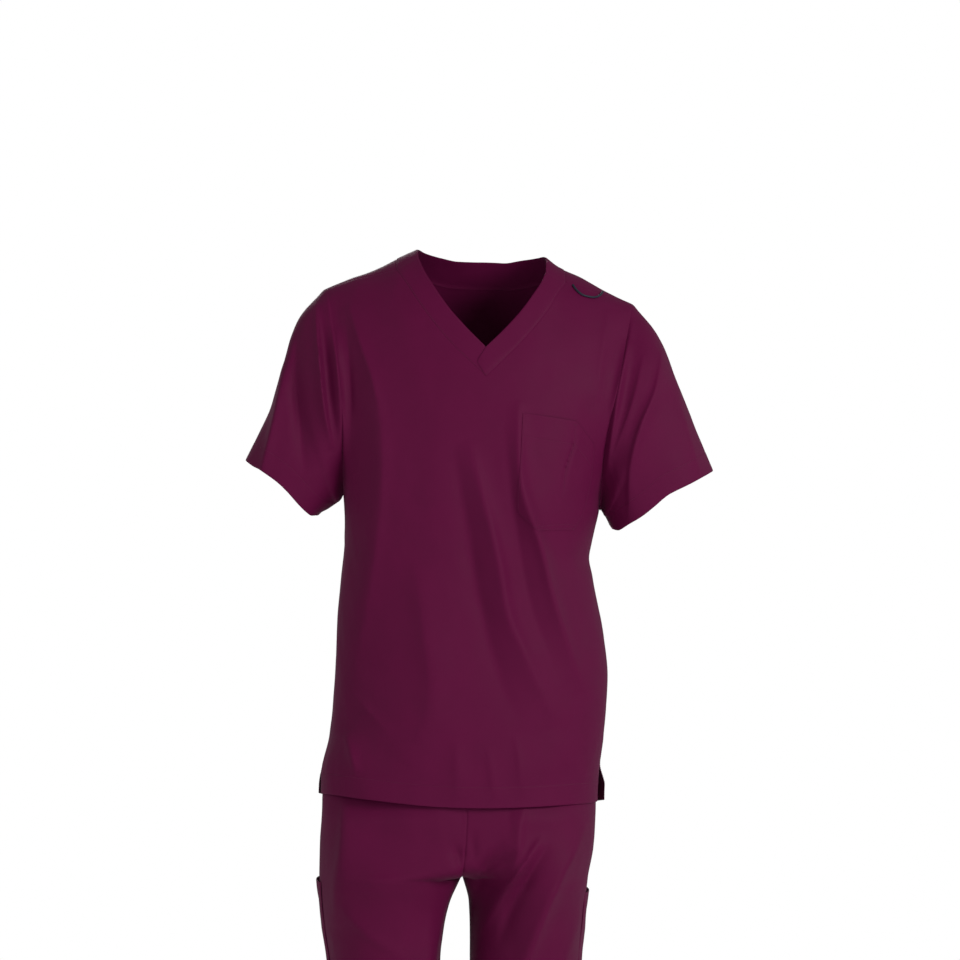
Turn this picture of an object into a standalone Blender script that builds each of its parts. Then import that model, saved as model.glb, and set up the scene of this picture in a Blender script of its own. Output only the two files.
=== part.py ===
# Medical scrubs: a V-neck top and straight trousers, worn and hollow.
# Metres, +Z up, the front faces -Y, the wearer's left is +X.
# The origin is between the two neck ends of the shoulders, where the wearer holds the set up.
import math

import bpy
import numpy as np
from mathutils import Vector
from mathutils.bvhtree import BVHTree

# ---- driving sizes ----
CLOTH = 0.0012            # wall that stands for the cloth
SEAM_GAP = 0.0003         # clearance between two pieces at a seam
LAYER_GAP = 0.0008        # clearance under a piece that lies on another
ARMPIT_RIGHT = -0.305     # height of the wearer's right armpit
ARMPIT_LEFT = -0.322      # the left shoulder stands lower
ROUNDNESS = 2.3           # superellipse power of the body sections
HEM_ROWS = 17             # rows from the top's hem to the armpits
YOKE_ROWS = 12            # rows from the armpits to the shoulder seams
SHOULDER_COLUMNS = 5      # columns under one shoulder seam
NECK_FRONT_COLUMNS = 9    # columns under one side of the V
NECK_BACK_COLUMNS = 12    # columns under the back of the neck
BAND_ROWS = 3             # rows across the neckband
SLEEVE_COLUMNS = 9        # rows from armhole to cuff
LEG_COLUMNS = 10          # columns of one trouser panel
LEG_ROWS = 14             # rows from the trouser hem to the crotch
RISE_ROWS = 9             # rows from the crotch to the waistband
WAIST_Z = -0.510          # lower edge of the waistband
WAISTBAND = 0.040         # its height
CROTCH = (-0.0225, 0.010, -0.7806)
LEG_HEM_Z = -1.575
VENT_Z = -0.640           # the side vents open below this height
VENT_FADE = 0.030         # height over which a vent's flare grows
VENT_REACH = 0.030        # how far a vent's flare reaches round the back
VENT_LEAN = 0.5           # how far it stands back for each metre that it stands out
LOOP_RADIUS = 0.0013      # cord of the badge loop
NOTCH = 0.40              # how steeply one piece rises from another's skin where they form a notch
HOLD_REACH = 3            # points over which the folds fade towards a held border
FOLD_ENDS = 0.04          # least share of a fold's run at which its end is read
FOLD_BLUNT = 0.7          # power that keeps a fold deep until near its ends
SLEEVE_ROUND = 0.92       # power of the sleeve sections, a little fuller than an ellipse
BACK_ROUND = 0.86         # power that rounds the upper back out over the shoulders
CROTCH_SHIFT = 0.5        # share of the rise over which the legs' middle line comes forward

RIGHT, LEFT = -1, 1
FRONT, BACK = -1, 1
VENT_FLARE = {RIGHT: 0.003, LEFT: 0.009}   # how far the back's lower corners stand out


class Table:
    """Rows of named columns, read along the first one with a smooth curve that never overshoots."""

    def __init__(self, header, *rows):
        data = np.array(rows, dtype=float)
        self.keys = data[:, 0]
        self.columns = dict(zip(header.split(), data.T))

    def at(self, name, key):
        keys, values = self.keys, self.columns[name]
        steps = np.diff(keys)
        slopes = np.diff(values) / steps
        tangents = np.concatenate(([slopes[0]], np.zeros(len(keys) - 2), [slopes[-1]]))
        same_way = slopes[:-1] * slopes[1:] > 0
        mean = 2 * slopes[:-1] * slopes[1:] / np.where(same_way, slopes[:-1] + slopes[1:], 1)
        tangents[1:-1] = np.where(same_way, mean, 0)
        key = np.clip(key, keys[0], keys[-1])
        cell = np.clip(np.searchsorted(keys, key, side="right") - 1, 0, len(keys) - 2)
        t = (key - keys[cell]) / steps[cell]
        return ((1 + 2 * t) * (1 - t) ** 2 * values[cell] + t * (1 - t) ** 2 * steps[cell] * tangents[cell]
                + t * t * (3 - 2 * t) * values[cell + 1] + t * t * (t - 1) * steps[cell] * tangents[cell + 1])


# Body of the top by height: how far it reaches to the wearer's right and left, front and back.
BODY = Table(
    "height right left front back",
    (-0.710, 0.1985, 0.1455, 0.131, 0.124),
    (-0.680, 0.1985, 0.1460, 0.130, 0.121),
    (-0.655, 0.1980, 0.1480, 0.128, 0.118),
    (-0.606, 0.1880, 0.1550, 0.125, 0.111),
    (-0.557, 0.1825, 0.1585, 0.122, 0.104),
    (-0.530, 0.1810, 0.1590, 0.121, 0.101),
    (-0.475, 0.1785, 0.1530, 0.120, 0.100),
    (-0.408, 0.1735, 0.1405, 0.121, 0.103),
    (-0.385, 0.1710, 0.1360, 0.122, 0.106),
    (-0.366, 0.1695, 0.1390, 0.123, 0.108),
    (-0.322, 0.1695, 0.1490, 0.125, 0.114),
    (-0.305, 0.1700, 0.1500, 0.126, 0.116),
)
# Shoulders, by the angle over them: 0 level with the armpit, 90 on the ridge. The form's own
# reach to each side, and the place of the armhole seam on it.
YOKE = Table(
    "over right left seam_right seam_left",
    (0, 0.170, 0.149, -0.1700, 0.1490),
    (10, 0.175, 0.158, -0.1692, 0.1515),
    (20, 0.183, 0.172, -0.1690, 0.1570),
    (31, 0.192, 0.189, -0.1705, 0.1670),
    (41, 0.200, 0.199, -0.1745, 0.1745),
    (51, 0.207, 0.206, -0.1800, 0.1800),
    (65, 0.217, 0.216, -0.1860, 0.1860),
    (78, 0.225, 0.225, -0.1905, 0.1895),
    (90, 0.230, 0.230, -0.1960, 0.1920),
)
# Ridge of the shoulders, and the height it would have across the open neck.
RIDGE = Table(
    "x height",
    (-0.230, -0.074), (-0.196, -0.050), (-0.166, -0.0375), (-0.125, -0.0225), (-0.100, -0.010),
    (-0.085, -0.003), (-0.071, 0.003), (-0.040, 0.011), (0.000, 0.014), (0.040, 0.008),
    (0.070, -0.003), (0.083, -0.011), (0.100, -0.023), (0.128, -0.036), (0.154, -0.050),
    (0.179, -0.0625), (0.192, -0.069), (0.230, -0.098),
)
# Shoulder seam: its angle over the shoulder. It lies forward of the ridge near the neck.
SHOULDER_SEAM = Table("x over", (-0.196, 86), (-0.104, 74), (0.000, 70), (0.100, 70), (0.192, 84))
# Neckline in front, from the V to the shoulder seam: the band's free edge and its sewn edge.
NECK_RIGHT = Table(
    "station edge_x edge_z seam_x seam_z",
    (0, 0.0073, -0.1255, 0.0073, -0.1615),
    (1, -0.0175, -0.1000, -0.0330, -0.1235),
    (2, -0.0390, -0.0750, -0.0575, -0.0945),
    (3, -0.0550, -0.0515, -0.0765, -0.0680),
    (4, -0.0690, -0.0285, -0.0930, -0.0425),
    (5, -0.0765, -0.0110, -0.1045, -0.0265),
)
NECK_LEFT = Table(
    "station edge_x edge_z seam_x seam_z",
    (0, 0.0073, -0.1255, 0.0073, -0.1615),
    (1, 0.0302, -0.1030, 0.0457, -0.1240),
    (2, 0.0508, -0.0800, 0.0683, -0.0985),
    (3, 0.0657, -0.0592, 0.0853, -0.0760),
    (4, 0.0760, -0.0433, 0.0960, -0.0575),
    (5, 0.0815, -0.0303, 0.1065, -0.0430),
)
# Neckline behind, from the right shoulder seam to the left one, by angle over the shoulder.
NECK_BACK = Table(
    "station edge_x edge_over seam_x seam_over",
    (0, -0.0765, 74, -0.1045, 74),
    (1, -0.078, 88, -0.104, 90),
    (2, -0.073, 98, -0.098, 106),
    (3, -0.055, 107, -0.072, 118),
    (4, -0.028, 112, -0.035, 124),
    (5, 0.000, 113, 0.000, 125),
    (6, 0.028, 112, 0.035, 124),
    (7, 0.055, 107, 0.072, 118),
    (8, 0.075, 98, 0.097, 106),
    (9, 0.082, 84, 0.1058, 86),
    (10, 0.0815, 72, 0.1065, 70),
)
# The lap of the V: the left band runs over the right one and is sewn down past the point.
LAP = (-0.0038, -0.1392)
# Hem heights of the top from the right side seam (0) to the left one (1).
HEM = Table(
    "across front back",
    (0.00, -0.6790, -0.6790), (0.15, -0.6765, -0.6910), (0.30, -0.6790, -0.6980),
    (0.50, -0.6845, -0.7000), (0.75, -0.6825, -0.6980), (1.00, -0.6880, -0.6880),
)
# Sleeve openings from the armhole (0) to the cuff (1): outermost and innermost points, depth.
SLEEVE = {
    RIGHT: Table(
        "along outer_x outer_z inner_x inner_z front back",
        (0.25, -0.2270, -0.088, -0.1740, -0.312, 0.071, 0.066),
        (0.50, -0.2475, -0.148, -0.1815, -0.319, 0.070, 0.066),
        (0.75, -0.2640, -0.205, -0.1900, -0.327, 0.066, 0.064),
        (1.00, -0.2925, -0.265, -0.2000, -0.335, 0.062, 0.061),
    ),
    LEFT: Table(
        "along outer_x outer_z inner_x inner_z front back",
        (0.25, 0.2230, -0.108, 0.1535, -0.329, 0.072, 0.066),
        (0.50, 0.2460, -0.164, 0.1570, -0.334, 0.071, 0.066),
        (0.75, 0.2690, -0.222, 0.1600, -0.339, 0.067, 0.065),
        (1.00, 0.2910, -0.276, 0.1625, -0.343, 0.063, 0.062),
    ),
}
# Legs by height: outseam, inseam, and depth before and behind the leg's own middle line.
LEG = {
    RIGHT: Table(
        "height outer inner front back middle",
        (-1.575, -0.1750, -0.0540, 0.066, 0.070, 0.020),
        (-1.450, -0.1720, -0.0570, 0.066, 0.073, 0.016),
        (-1.300, -0.1720, -0.0580, 0.070, 0.079, 0.010),
        (-1.130, -0.1760, -0.0560, 0.077, 0.079, 0.004),
        (-1.000, -0.1810, -0.0540, 0.089, 0.091, 0.006),
        (-0.885, -0.1900, -0.0500, 0.101, 0.103, 0.009),
        (-0.845, -0.1965, -0.0450, 0.107, 0.108, 0.010),
        (-0.815, -0.1995, -0.0375, 0.111, 0.112, 0.010),
        (-0.7806, -0.2015, -0.0225, 0.116, 0.116, 0.010),
    ),
    LEFT: Table(
        "height outer inner front back middle",
        (-1.575, 0.1240, 0.0030, 0.066, 0.070, 0.020),
        (-1.450, 0.1210, 0.0000, 0.066, 0.073, 0.016),
        (-1.300, 0.1200, -0.0020, 0.070, 0.079, 0.010),
        (-1.130, 0.1220, -0.0050, 0.077, 0.079, 0.004),
        (-1.000, 0.1240, -0.0100, 0.089, 0.091, 0.006),
        (-0.885, 0.1260, -0.0125, 0.101, 0.103, 0.009),
        (-0.845, 0.1292, -0.0130, 0.107, 0.108, 0.010),
        (-0.815, 0.1315, -0.0140, 0.111, 0.112, 0.010),
        (-0.7806, 0.1355, -0.0225, 0.116, 0.116, 0.010),
    ),
}
# Hips by height: side seams, centre seam, and depth in front and behind.
HIP = Table(
    "height right left centre front back",
    (-0.7806, -0.2015, 0.1355, -0.0225, 0.117, 0.118),
    (-0.740, -0.2000, 0.1425, -0.0180, 0.117, 0.118),
    (-0.700, -0.1972, 0.1440, -0.0160, 0.116, 0.115),
    (-0.680, -0.1966, 0.1442, -0.0160, 0.114, 0.112),
    (-0.620, -0.1845, 0.1460, -0.0150, 0.109, 0.101),
    (-0.560, -0.1700, 0.1440, -0.0135, 0.104, 0.090),
    (-0.510, -0.1600, 0.1380, -0.0110, 0.100, 0.084),
    (-0.470, -0.1570, 0.1350, -0.0110, 0.100, 0.084),
)
# Seat seam from the crotch (0) to the waist (1): share of the full depth, and height.
SEAT = Table(
    "up share height",
    (0.00, 0.00, -0.7806), (0.12, 0.40, -0.7770), (0.25, 0.74, -0.7620), (0.38, 0.93, -0.7330),
    (0.52, 1.00, -0.6900), (1.00, 1.00, -0.5100),
)
# Chest pocket, on the wearer's left, by height above its lower edge (0 to 1).
POCKET_BOTTOM = -0.349
POCKET_COLUMNS, POCKET_ROWS = 11, 13
POCKET_MOUTH = ((0.00, -0.206), (0.73, -0.216), (1.00, -0.245))   # it slopes down over the pen slot
POCKET = Table(
    "up inner outer",
    (0.00, 0.0690, 0.1150), (0.20, 0.0450, 0.1270), (0.50, 0.0480, 0.1350), (1.00, 0.0520, 0.1410),
)
# Thigh pockets, which start just forward of the outseams and lie on the legs' back panels.
CARGO_TOP = {RIGHT: -0.787, LEFT: -0.800}
CARGO_HEIGHT = 0.190
CARGO_COLUMNS = {FRONT: 1, BACK: 3}        # columns of each leg panel that a pocket covers
# Badge loop, sewn into the left shoulder seam: its route over the panel, seen from the front.
BADGE_ROUTE = ((0.1145, -0.0470), (0.1190, -0.0535), (0.1255, -0.0590), (0.1335, -0.0615),
               (0.1415, -0.0620), (0.1480, -0.0595), (0.1520, -0.0545))
BADGE_POINTS = 17
# Folds: side, depth (a trough is below 0), half width, then the route seen from the front.
FOLDS = (
    (FRONT, -0.0060, 0.013, ((-0.022, -0.244), (-0.017, -0.288), (-0.006, -0.338), (0.006, -0.388),
                             (0.021, -0.435), (0.028, -0.481), (0.043, -0.519), (0.057, -0.562),
                             (0.074, -0.600))),
    (FRONT, 0.0040, 0.014, ((0.000, -0.200), (0.011, -0.260), (0.017, -0.317), (0.032, -0.383),
                            (0.048, -0.440), (0.064, -0.482), (0.081, -0.522), (0.095, -0.574))),
    (FRONT, -0.0060, 0.013, ((0.046, -0.335), (0.060, -0.369), (0.068, -0.406), (0.081, -0.440),
                             (0.094, -0.475), (0.113, -0.520), (0.128, -0.556))),
    (FRONT, 0.0030, 0.012, ((0.100, -0.366), (0.108, -0.410), (0.118, -0.455), (0.134, -0.510))),
    (FRONT, -0.0050, 0.026, ((-0.092, -0.360), (-0.094, -0.410), (-0.094, -0.460), (-0.092, -0.520),
                             (-0.094, -0.590), (-0.106, -0.625))),
    (FRONT, -0.0045, 0.011, ((-0.154, -0.075), (-0.145, -0.110), (-0.134, -0.150), (-0.128, -0.200),
                             (-0.138, -0.260))),
    (FRONT, -0.0035, 0.012, ((0.152, -0.090), (0.144, -0.130), (0.135, -0.175))),
    (BACK, -0.0060, 0.016, ((0.105, -0.300), (0.078, -0.360), (0.046, -0.430), (0.030, -0.500),
                            (0.022, -0.570))),
    (BACK, -0.0055, 0.016, ((-0.130, -0.320), (-0.104, -0.390), (-0.080, -0.460), (-0.068, -0.540))),
    (BACK, 0.0040, 0.016, ((-0.020, -0.330), (-0.024, -0.410), (-0.032, -0.500), (-0.036, -0.600))),
    (BACK, -0.0040, 0.018, ((-0.010, -0.070), (-0.006, -0.120), (0.002, -0.180), (0.004, -0.240))),
)
SLEEVE_FOLDS = {
    RIGHT: (
        (FRONT, -0.0070, 0.009, ((-0.184, -0.110), (-0.179, -0.170), (-0.177, -0.230), (-0.176, -0.280))),
        (FRONT, 0.0040, 0.008, ((-0.199, -0.100), (-0.199, -0.150), (-0.194, -0.200), (-0.190, -0.235))),
        (FRONT, -0.0040, 0.013, ((-0.217, -0.110), (-0.214, -0.160), (-0.209, -0.220))),
        (BACK, -0.0060, 0.012, ((-0.200, -0.110), (-0.192, -0.180), (-0.186, -0.250), (-0.188, -0.300))),
        (BACK, 0.0035, 0.012, ((-0.222, -0.120), (-0.218, -0.190), (-0.218, -0.260))),
    ),
    LEFT: (
        (FRONT, -0.0070, 0.010, ((0.214, -0.155), (0.207, -0.185), (0.194, -0.225), (0.182, -0.262),
                                 (0.171, -0.315))),
        (FRONT, -0.0045, 0.008, ((0.197, -0.148), (0.192, -0.175), (0.182, -0.205), (0.172, -0.235))),
        (FRONT, -0.0030, 0.013, ((0.233, -0.145), (0.242, -0.192), (0.254, -0.270))),
        (BACK, -0.0060, 0.012, ((0.208, -0.130), (0.196, -0.190), (0.182, -0.260), (0.172, -0.310))),
        (BACK, 0.0035, 0.012, ((0.230, -0.140), (0.224, -0.200), (0.226, -0.280))),
    ),
}
LEG_FOLDS = (
    (FRONT, 0.0060, 0.009, ((0.078, -0.725), (0.056, -0.765), (0.040, -0.795), (0.024, -0.822),
                            (0.010, -0.850))),
    (FRONT, -0.0070, 0.013, ((0.052, -0.735), (0.034, -0.770), (0.014, -0.800), (0.004, -0.830))),
    (FRONT, -0.0045, 0.012, ((0.086, -0.775), (0.070, -0.815), (0.056, -0.860))),
    (FRONT, -0.0050, 0.014, ((-0.170, -0.830), (-0.145, -0.852), (-0.108, -0.870))),
    (FRONT, -0.0050, 0.018, ((-0.160, -1.080), (-0.120, -1.120), (-0.080, -1.130))),
    (FRONT, -0.0050, 0.018, ((0.100, -1.060), (0.070, -1.110), (0.020, -1.130))),
    (FRONT, -0.0055, 0.018, ((-0.150, -1.430), (-0.110, -1.460), (-0.076, -1.455))),
    (FRONT, -0.0055, 0.018, ((0.098, -1.440), (0.062, -1.470), (0.022, -1.460))),
    (BACK, -0.0060, 0.018, ((-0.160, -1.100), (-0.115, -1.120), (-0.072, -1.110))),
    (BACK, -0.0060, 0.018, ((0.100, -1.105), (0.058, -1.125), (0.012, -1.110))),
    (BACK, -0.0060, 0.016, ((-0.150, -0.800), (-0.110, -0.835), (-0.070, -0.850))),
    (BACK, -0.0060, 0.016, ((0.105, -0.800), (0.068, -0.835), (0.028, -0.850))),
    (BACK, -0.0055, 0.018, ((-0.140, -1.450), (-0.105, -1.475), (-0.070, -1.460))),
    (BACK, -0.0055, 0.018, ((0.095, -1.450), (0.060, -1.475), (0.020, -1.460))),
)


# ---- the wearer's form, as cloth lies on it ----
def signed_power(value, power):
    return np.sign(value) * np.abs(value) ** power


def blend(start, end, share):
    return start + (end - start) * share


def smooth_step(share):
    share = np.clip(share, 0, 1)
    return share * share * (3 - 2 * share)


def torso_sides(height, rise):
    """Middle and half width of the torso's section, below or above the armpits."""
    over = np.degrees(np.minimum(rise, np.pi - rise))
    right = np.where(rise < 0, BODY.at("right", height), YOKE.at("right", over))
    left = np.where(rise < 0, BODY.at("left", height), YOKE.at("left", over))
    return (left - right) / 2, (left + right) / 2


def torso(side, angle, rise):
    """Point of the torso: angle 0 at its right to pi at its left; rise in metres below the
    armpit, or in radians over the shoulder above it."""
    across = -signed_power(np.cos(angle), 2 / ROUNDNESS)
    bulge = np.abs(np.sin(angle)) ** (2 / ROUNDNESS)
    armpit = blend(ARMPIT_RIGHT, ARMPIT_LEFT, (1 + across) / 2)
    height = armpit + np.minimum(rise, 0)
    middle, half = torso_sides(height, rise)
    x = middle + half * across
    turn = np.maximum(rise, 0)
    z = height + (RIDGE.at("height", x) - armpit) * np.sin(turn)
    near = BODY.at("front" if side == FRONT else "back", height)
    far = BODY.at("back" if side == FRONT else "front", height)
    behind = (side == BACK) == (np.cos(turn) >= 0)
    lean = signed_power(np.cos(turn), np.where(behind, BACK_ROUND, 1.0))
    y = side * np.where(np.cos(turn) >= 0, near, far) * lean * bulge
    return np.stack([x, y, z], axis=-1)


def torso_angle(x, rise):
    """Angle of the torso's form at which it passes x, above the armpits."""
    middle, half = torso_sides(0.0, rise)
    across = np.clip((x - middle) / half, -1, 1)
    return np.arccos(-signed_power(across, ROUNDNESS / 2))


def rise_at(x, z):
    """Angle over the shoulder at which the front of the torso has the height z."""
    share = np.clip((x + YOKE.at("right", 0)) / (YOKE.at("right", 0) + YOKE.at("left", 0)), 0, 1)
    armpit = blend(ARMPIT_RIGHT, ARMPIT_LEFT, share)
    return np.arcsin(np.clip((z - armpit) / (RIDGE.at("height", x) - armpit), -1, 1))


def fold_depth(points, folds, side):
    """Sum of the folds' depths at each point, by its distance to their routes seen from the front."""
    seen = points[..., [0, 2]]
    total = np.zeros(seen.shape[:-1])
    for fold_side, depth, width, route in folds:
        if fold_side != side:
            continue
        route = np.array(route)
        lengths = np.linalg.norm(np.diff(route, axis=0), axis=1)
        run = np.concatenate(([0], np.cumsum(lengths)))
        best = np.full(total.shape, 9.0)
        along = np.zeros(total.shape)
        for start, end, length, passed in zip(route[:-1], route[1:], lengths, run):
            step = (end - start) / length
            share = np.clip((seen - start) @ step, 0, length)
            away = np.linalg.norm(seen - start - share[..., None] * step, axis=-1)
            along = np.where(away < best, (passed + share) / run[-1], along)
            best = np.minimum(best, away)
        fade = np.sin(np.pi * np.clip(along, FOLD_ENDS, 1 - FOLD_ENDS)) ** FOLD_BLUNT
        total += depth * fade * np.exp(-(best / width) ** 2)
    return total


# ---- grids ----
def grid_normals(grid, closed, outward):
    """Unit normals of a grid of points, on the side that the outward points lie on."""
    ring = np.concatenate([grid, grid[:1]]) if closed else grid
    facing = np.cross(ring[1:, 1:] - ring[:-1, :-1], ring[:-1, 1:] - ring[1:, :-1])
    normals = np.zeros(ring.shape)
    for rows in (slice(None, -1), slice(1, None)):
        for columns in (slice(None, -1), slice(1, None)):
            normals[rows, columns] += facing
    if closed:
        normals[0] += normals[-1]
        normals = normals[:-1]
    normals /= np.linalg.norm(normals, axis=-1, keepdims=True)
    return normals if np.sum(normals * outward) > 0 else -normals


def press_folds(grid, closed, outward, folds, side, hold):
    """Move a grid's points along their normals by the folds, less near the held borders."""
    depth = fold_depth(grid, folds, side) * hold
    return grid + grid_normals(grid, closed, outward) * depth[..., None]


def border_hold(shape, rows, columns):
    """Nought on a grid's held borders, rising to one a few points inside."""
    hold = np.ones(shape)
    for axis, ends in ((0, rows), (1, columns)):
        count = shape[axis]
        place = np.arange(count, dtype=float)
        ramp = np.ones(count)
        if ends[0]:
            ramp = np.minimum(ramp, smooth_step(place / HOLD_REACH))
        if ends[1]:
            ramp = np.minimum(ramp, smooth_step((count - 1 - place) / HOLD_REACH))
        hold *= ramp[:, None] if axis == 0 else ramp[None, :]
    return hold


def panel_grid(side):
    """Outer points of the top's front or back, rows from hem to shoulder and neck."""
    neck = NECK_FRONT_COLUMNS * 2 if side == FRONT else NECK_BACK_COLUMNS
    columns = SHOULDER_COLUMNS * 2 + neck
    across = np.linspace(0, 1, columns + 1)
    top_x, top_rise = panel_top(side)
    rise = np.zeros((HEM_ROWS + YOKE_ROWS + 1, columns + 1))
    hem = HEM.at("front" if side == FRONT else "back", across)
    armpit = blend(ARMPIT_RIGHT, ARMPIT_LEFT, across)
    up = np.linspace(0, 1, HEM_ROWS + 1)[:-1, None]
    rise[:HEM_ROWS] = (hem - armpit) * (1 - up)
    over = np.linspace(0, 1, YOKE_ROWS + 1)[:, None]
    rise[HEM_ROWS:] = over * top_rise
    angle = wrap_angle(rise, across)
    shift = torso_angle(top_x, top_rise) - angle[-1]
    angle[HEM_ROWS:] += shift * over ** 2
    angle[:, 0] = wrap_angle(rise[:, 0], 0.0)
    angle[:, -1] = wrap_angle(rise[:, -1], 1.0)
    return torso(side, angle, rise)


def wrap_angle(rise, across):
    """Angle round the torso for a share of the way from one edge of the panel to the other."""
    turn = np.maximum(rise, 0)
    over = np.degrees(np.minimum(turn, np.pi - turn))
    right = torso_angle(YOKE.at("seam_right", over), turn)
    left = torso_angle(YOKE.at("seam_left", over), turn)
    right = np.where(rise <= 0, 0, right)
    left = np.where(rise <= 0, np.pi, left)
    return blend(right, left, across)


def panel_top(side):
    """Upper edge of a panel: x and angle over the shoulder of each column."""
    reach = {RIGHT: (YOKE.at("seam_right", 90), NECK_RIGHT.at("seam_x", 5)),
             LEFT: (YOKE.at("seam_left", 90), NECK_LEFT.at("seam_x", 5))}
    x = {half: np.linspace(*reach[half], SHOULDER_COLUMNS + 1) for half in reach}
    rise = {half: np.radians(SHOULDER_SEAM.at("over", x[half])) for half in reach}
    if side == BACK:
        rise = {half: np.pi - rise[half] for half in reach}
    neck_x, neck_rise = neck_line(side, "seam")
    rise[RIGHT][-1], rise[LEFT][-1] = neck_rise[0], neck_rise[-1]
    return (np.concatenate([x[RIGHT], neck_x[1:-1], x[LEFT][::-1]]),
            np.concatenate([rise[RIGHT], neck_rise[1:-1], rise[LEFT][::-1]]))


def neck_line(side, line):
    """The neckline's free edge or seam, from the right shoulder seam round to the left one."""
    ends = {}
    for half, table in ((RIGHT, NECK_RIGHT), (LEFT, NECK_LEFT)):
        station = np.linspace(5, 0, NECK_FRONT_COLUMNS + 1)
        x = table.at(line + "_x", station)
        ends[half] = (x, rise_at(x, table.at(line + "_z", station)))
    if side == FRONT:
        x = np.concatenate([ends[RIGHT][0], ends[LEFT][0][::-1][1:]])
        return x, np.concatenate([ends[RIGHT][1], ends[LEFT][1][::-1][1:]])
    station = np.linspace(0, 10, NECK_BACK_COLUMNS + 1)
    x = NECK_BACK.at(line + "_x", station)
    rise = np.radians(180 - NECK_BACK.at(line + "_over", station))
    x[0], x[-1] = ends[RIGHT][0][0], ends[LEFT][0][0]
    rise[0], rise[-1] = np.pi - ends[RIGHT][1][0], np.pi - ends[LEFT][1][0]
    return x, rise


def band_grid(side, half=None):
    """Outer points of a stretch of the neckband, from its seam (row 0) to its free edge."""
    seam, edge = neck_line(side, "seam"), neck_line(side, "edge")
    columns = slice(None)
    if half is not None:
        middle = NECK_FRONT_COLUMNS
        columns = slice(0, middle + 1) if half == RIGHT else slice(middle, None)
    rows = []
    for share in np.linspace(0, 1, BAND_ROWS + 1):
        x = blend(seam[0], edge[0], share)[columns]
        rise = blend(seam[1], edge[1], share)[columns]
        if half is not None and 0 < share < 1:
            lap = -1 if half == RIGHT else 0
            x[lap] = blend(LAP[0], x[lap], abs(2 * share - 1))
        rows.append(torso(side, torso_angle(x, rise), rise))
    return np.array(rows)


def sleeve_grid(half, front, back):
    """Outer points of a sleeve: rows round it from the armpit, columns from armhole to cuff."""
    edge = 0 if half == RIGHT else -1
    loop = np.concatenate([front[HEM_ROWS:, edge], back[HEM_ROWS:, edge][::-1][1:-1]])
    count = len(loop)
    theta = 2 * np.pi * np.arange(count) / count
    table = SLEEVE[half]
    rings = [loop]
    for along in table.keys:
        outer = np.array([table.at("outer_x", along), 0, table.at("outer_z", along)])
        inner = np.array([table.at("inner_x", along), 0, table.at("inner_z", along)])
        ring = (outer + inner) / 2 - (outer - inner) / 2 * signed_power(np.cos(theta), SLEEVE_ROUND)[:, None]
        depth = np.where(theta < np.pi, -table.at("front", along), table.at("back", along))
        ring[:, 1] += depth * np.abs(np.sin(theta)) ** SLEEVE_ROUND
        rings.append(ring)
    rings = np.array(rings)
    knots = np.concatenate(([0], table.keys))
    columns = []
    for along in np.linspace(0, 1, SLEEVE_COLUMNS + 1):
        columns.append(through(knots, rings, along))
    return np.stack(columns, axis=1)


def through(knots, values, at):
    """Smooth curve through whole rings of points, at one place along them."""
    tangents = np.gradient(values, knots, axis=0)
    cell = min(int(np.searchsorted(knots, at, side="right")) - 1, len(knots) - 2)
    step = knots[cell + 1] - knots[cell]
    t = (at - knots[cell]) / step
    return ((1 + 2 * t) * (1 - t) ** 2 * values[cell] + t * (1 - t) ** 2 * step * tangents[cell]
            + t * t * (3 - 2 * t) * values[cell + 1] + t * t * (t - 1) * step * tangents[cell + 1])


def leg_grid(half, side):
    """Outer points of a trouser panel: rows from hem to waist, columns from outseam to inner edge."""
    angle = np.linspace(0, np.pi, LEG_COLUMNS + 1)
    depth_name = "front" if side == FRONT else "back"
    table = LEG[half]
    rows = []
    for height in np.linspace(LEG_HEM_Z, CROTCH[2], LEG_ROWS + 1):
        share = (1 - np.cos(angle)) / 2
        x = blend(table.at("outer", height), table.at("inner", height), share)
        y = table.at("middle", height) + side * table.at(depth_name, height) * np.sin(angle)
        rows.append(np.stack([x, y, np.full_like(x, height)], axis=-1))
    for up in np.linspace(0, 1, RISE_ROWS + 1)[1:]:
        rows.append(rise_row(half, side, depth_name, up, angle))
    return np.array(rows)


def rise_row(half, side, depth_name, up, angle):
    """One row over the hip, from the side seam to the centre seam."""
    outer_z = blend(CROTCH[2], WAIST_Z, up)
    inner_z = SEAT.at("height", up)
    outer = HIP.at("right" if half == RIGHT else "left", outer_z)
    inner = HIP.at("centre", inner_z)
    middle = CROTCH[1] * (1 - smooth_step(up / CROTCH_SHIFT))
    hip = SEAT.at("share", up)
    leg_share = (1 - np.cos(angle)) / 2
    z = blend(outer_z, inner_z, leg_share)
    x = blend(outer, inner, blend(leg_share, 1 - np.cos(angle / 2), hip))
    bulge = blend(np.sin(angle), np.sin(angle / 2), hip)
    y = middle * (1 - hip) + side * HIP.at(depth_name, z) * bulge / bulge.max()
    return np.stack([x, y, z], axis=-1)


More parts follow.
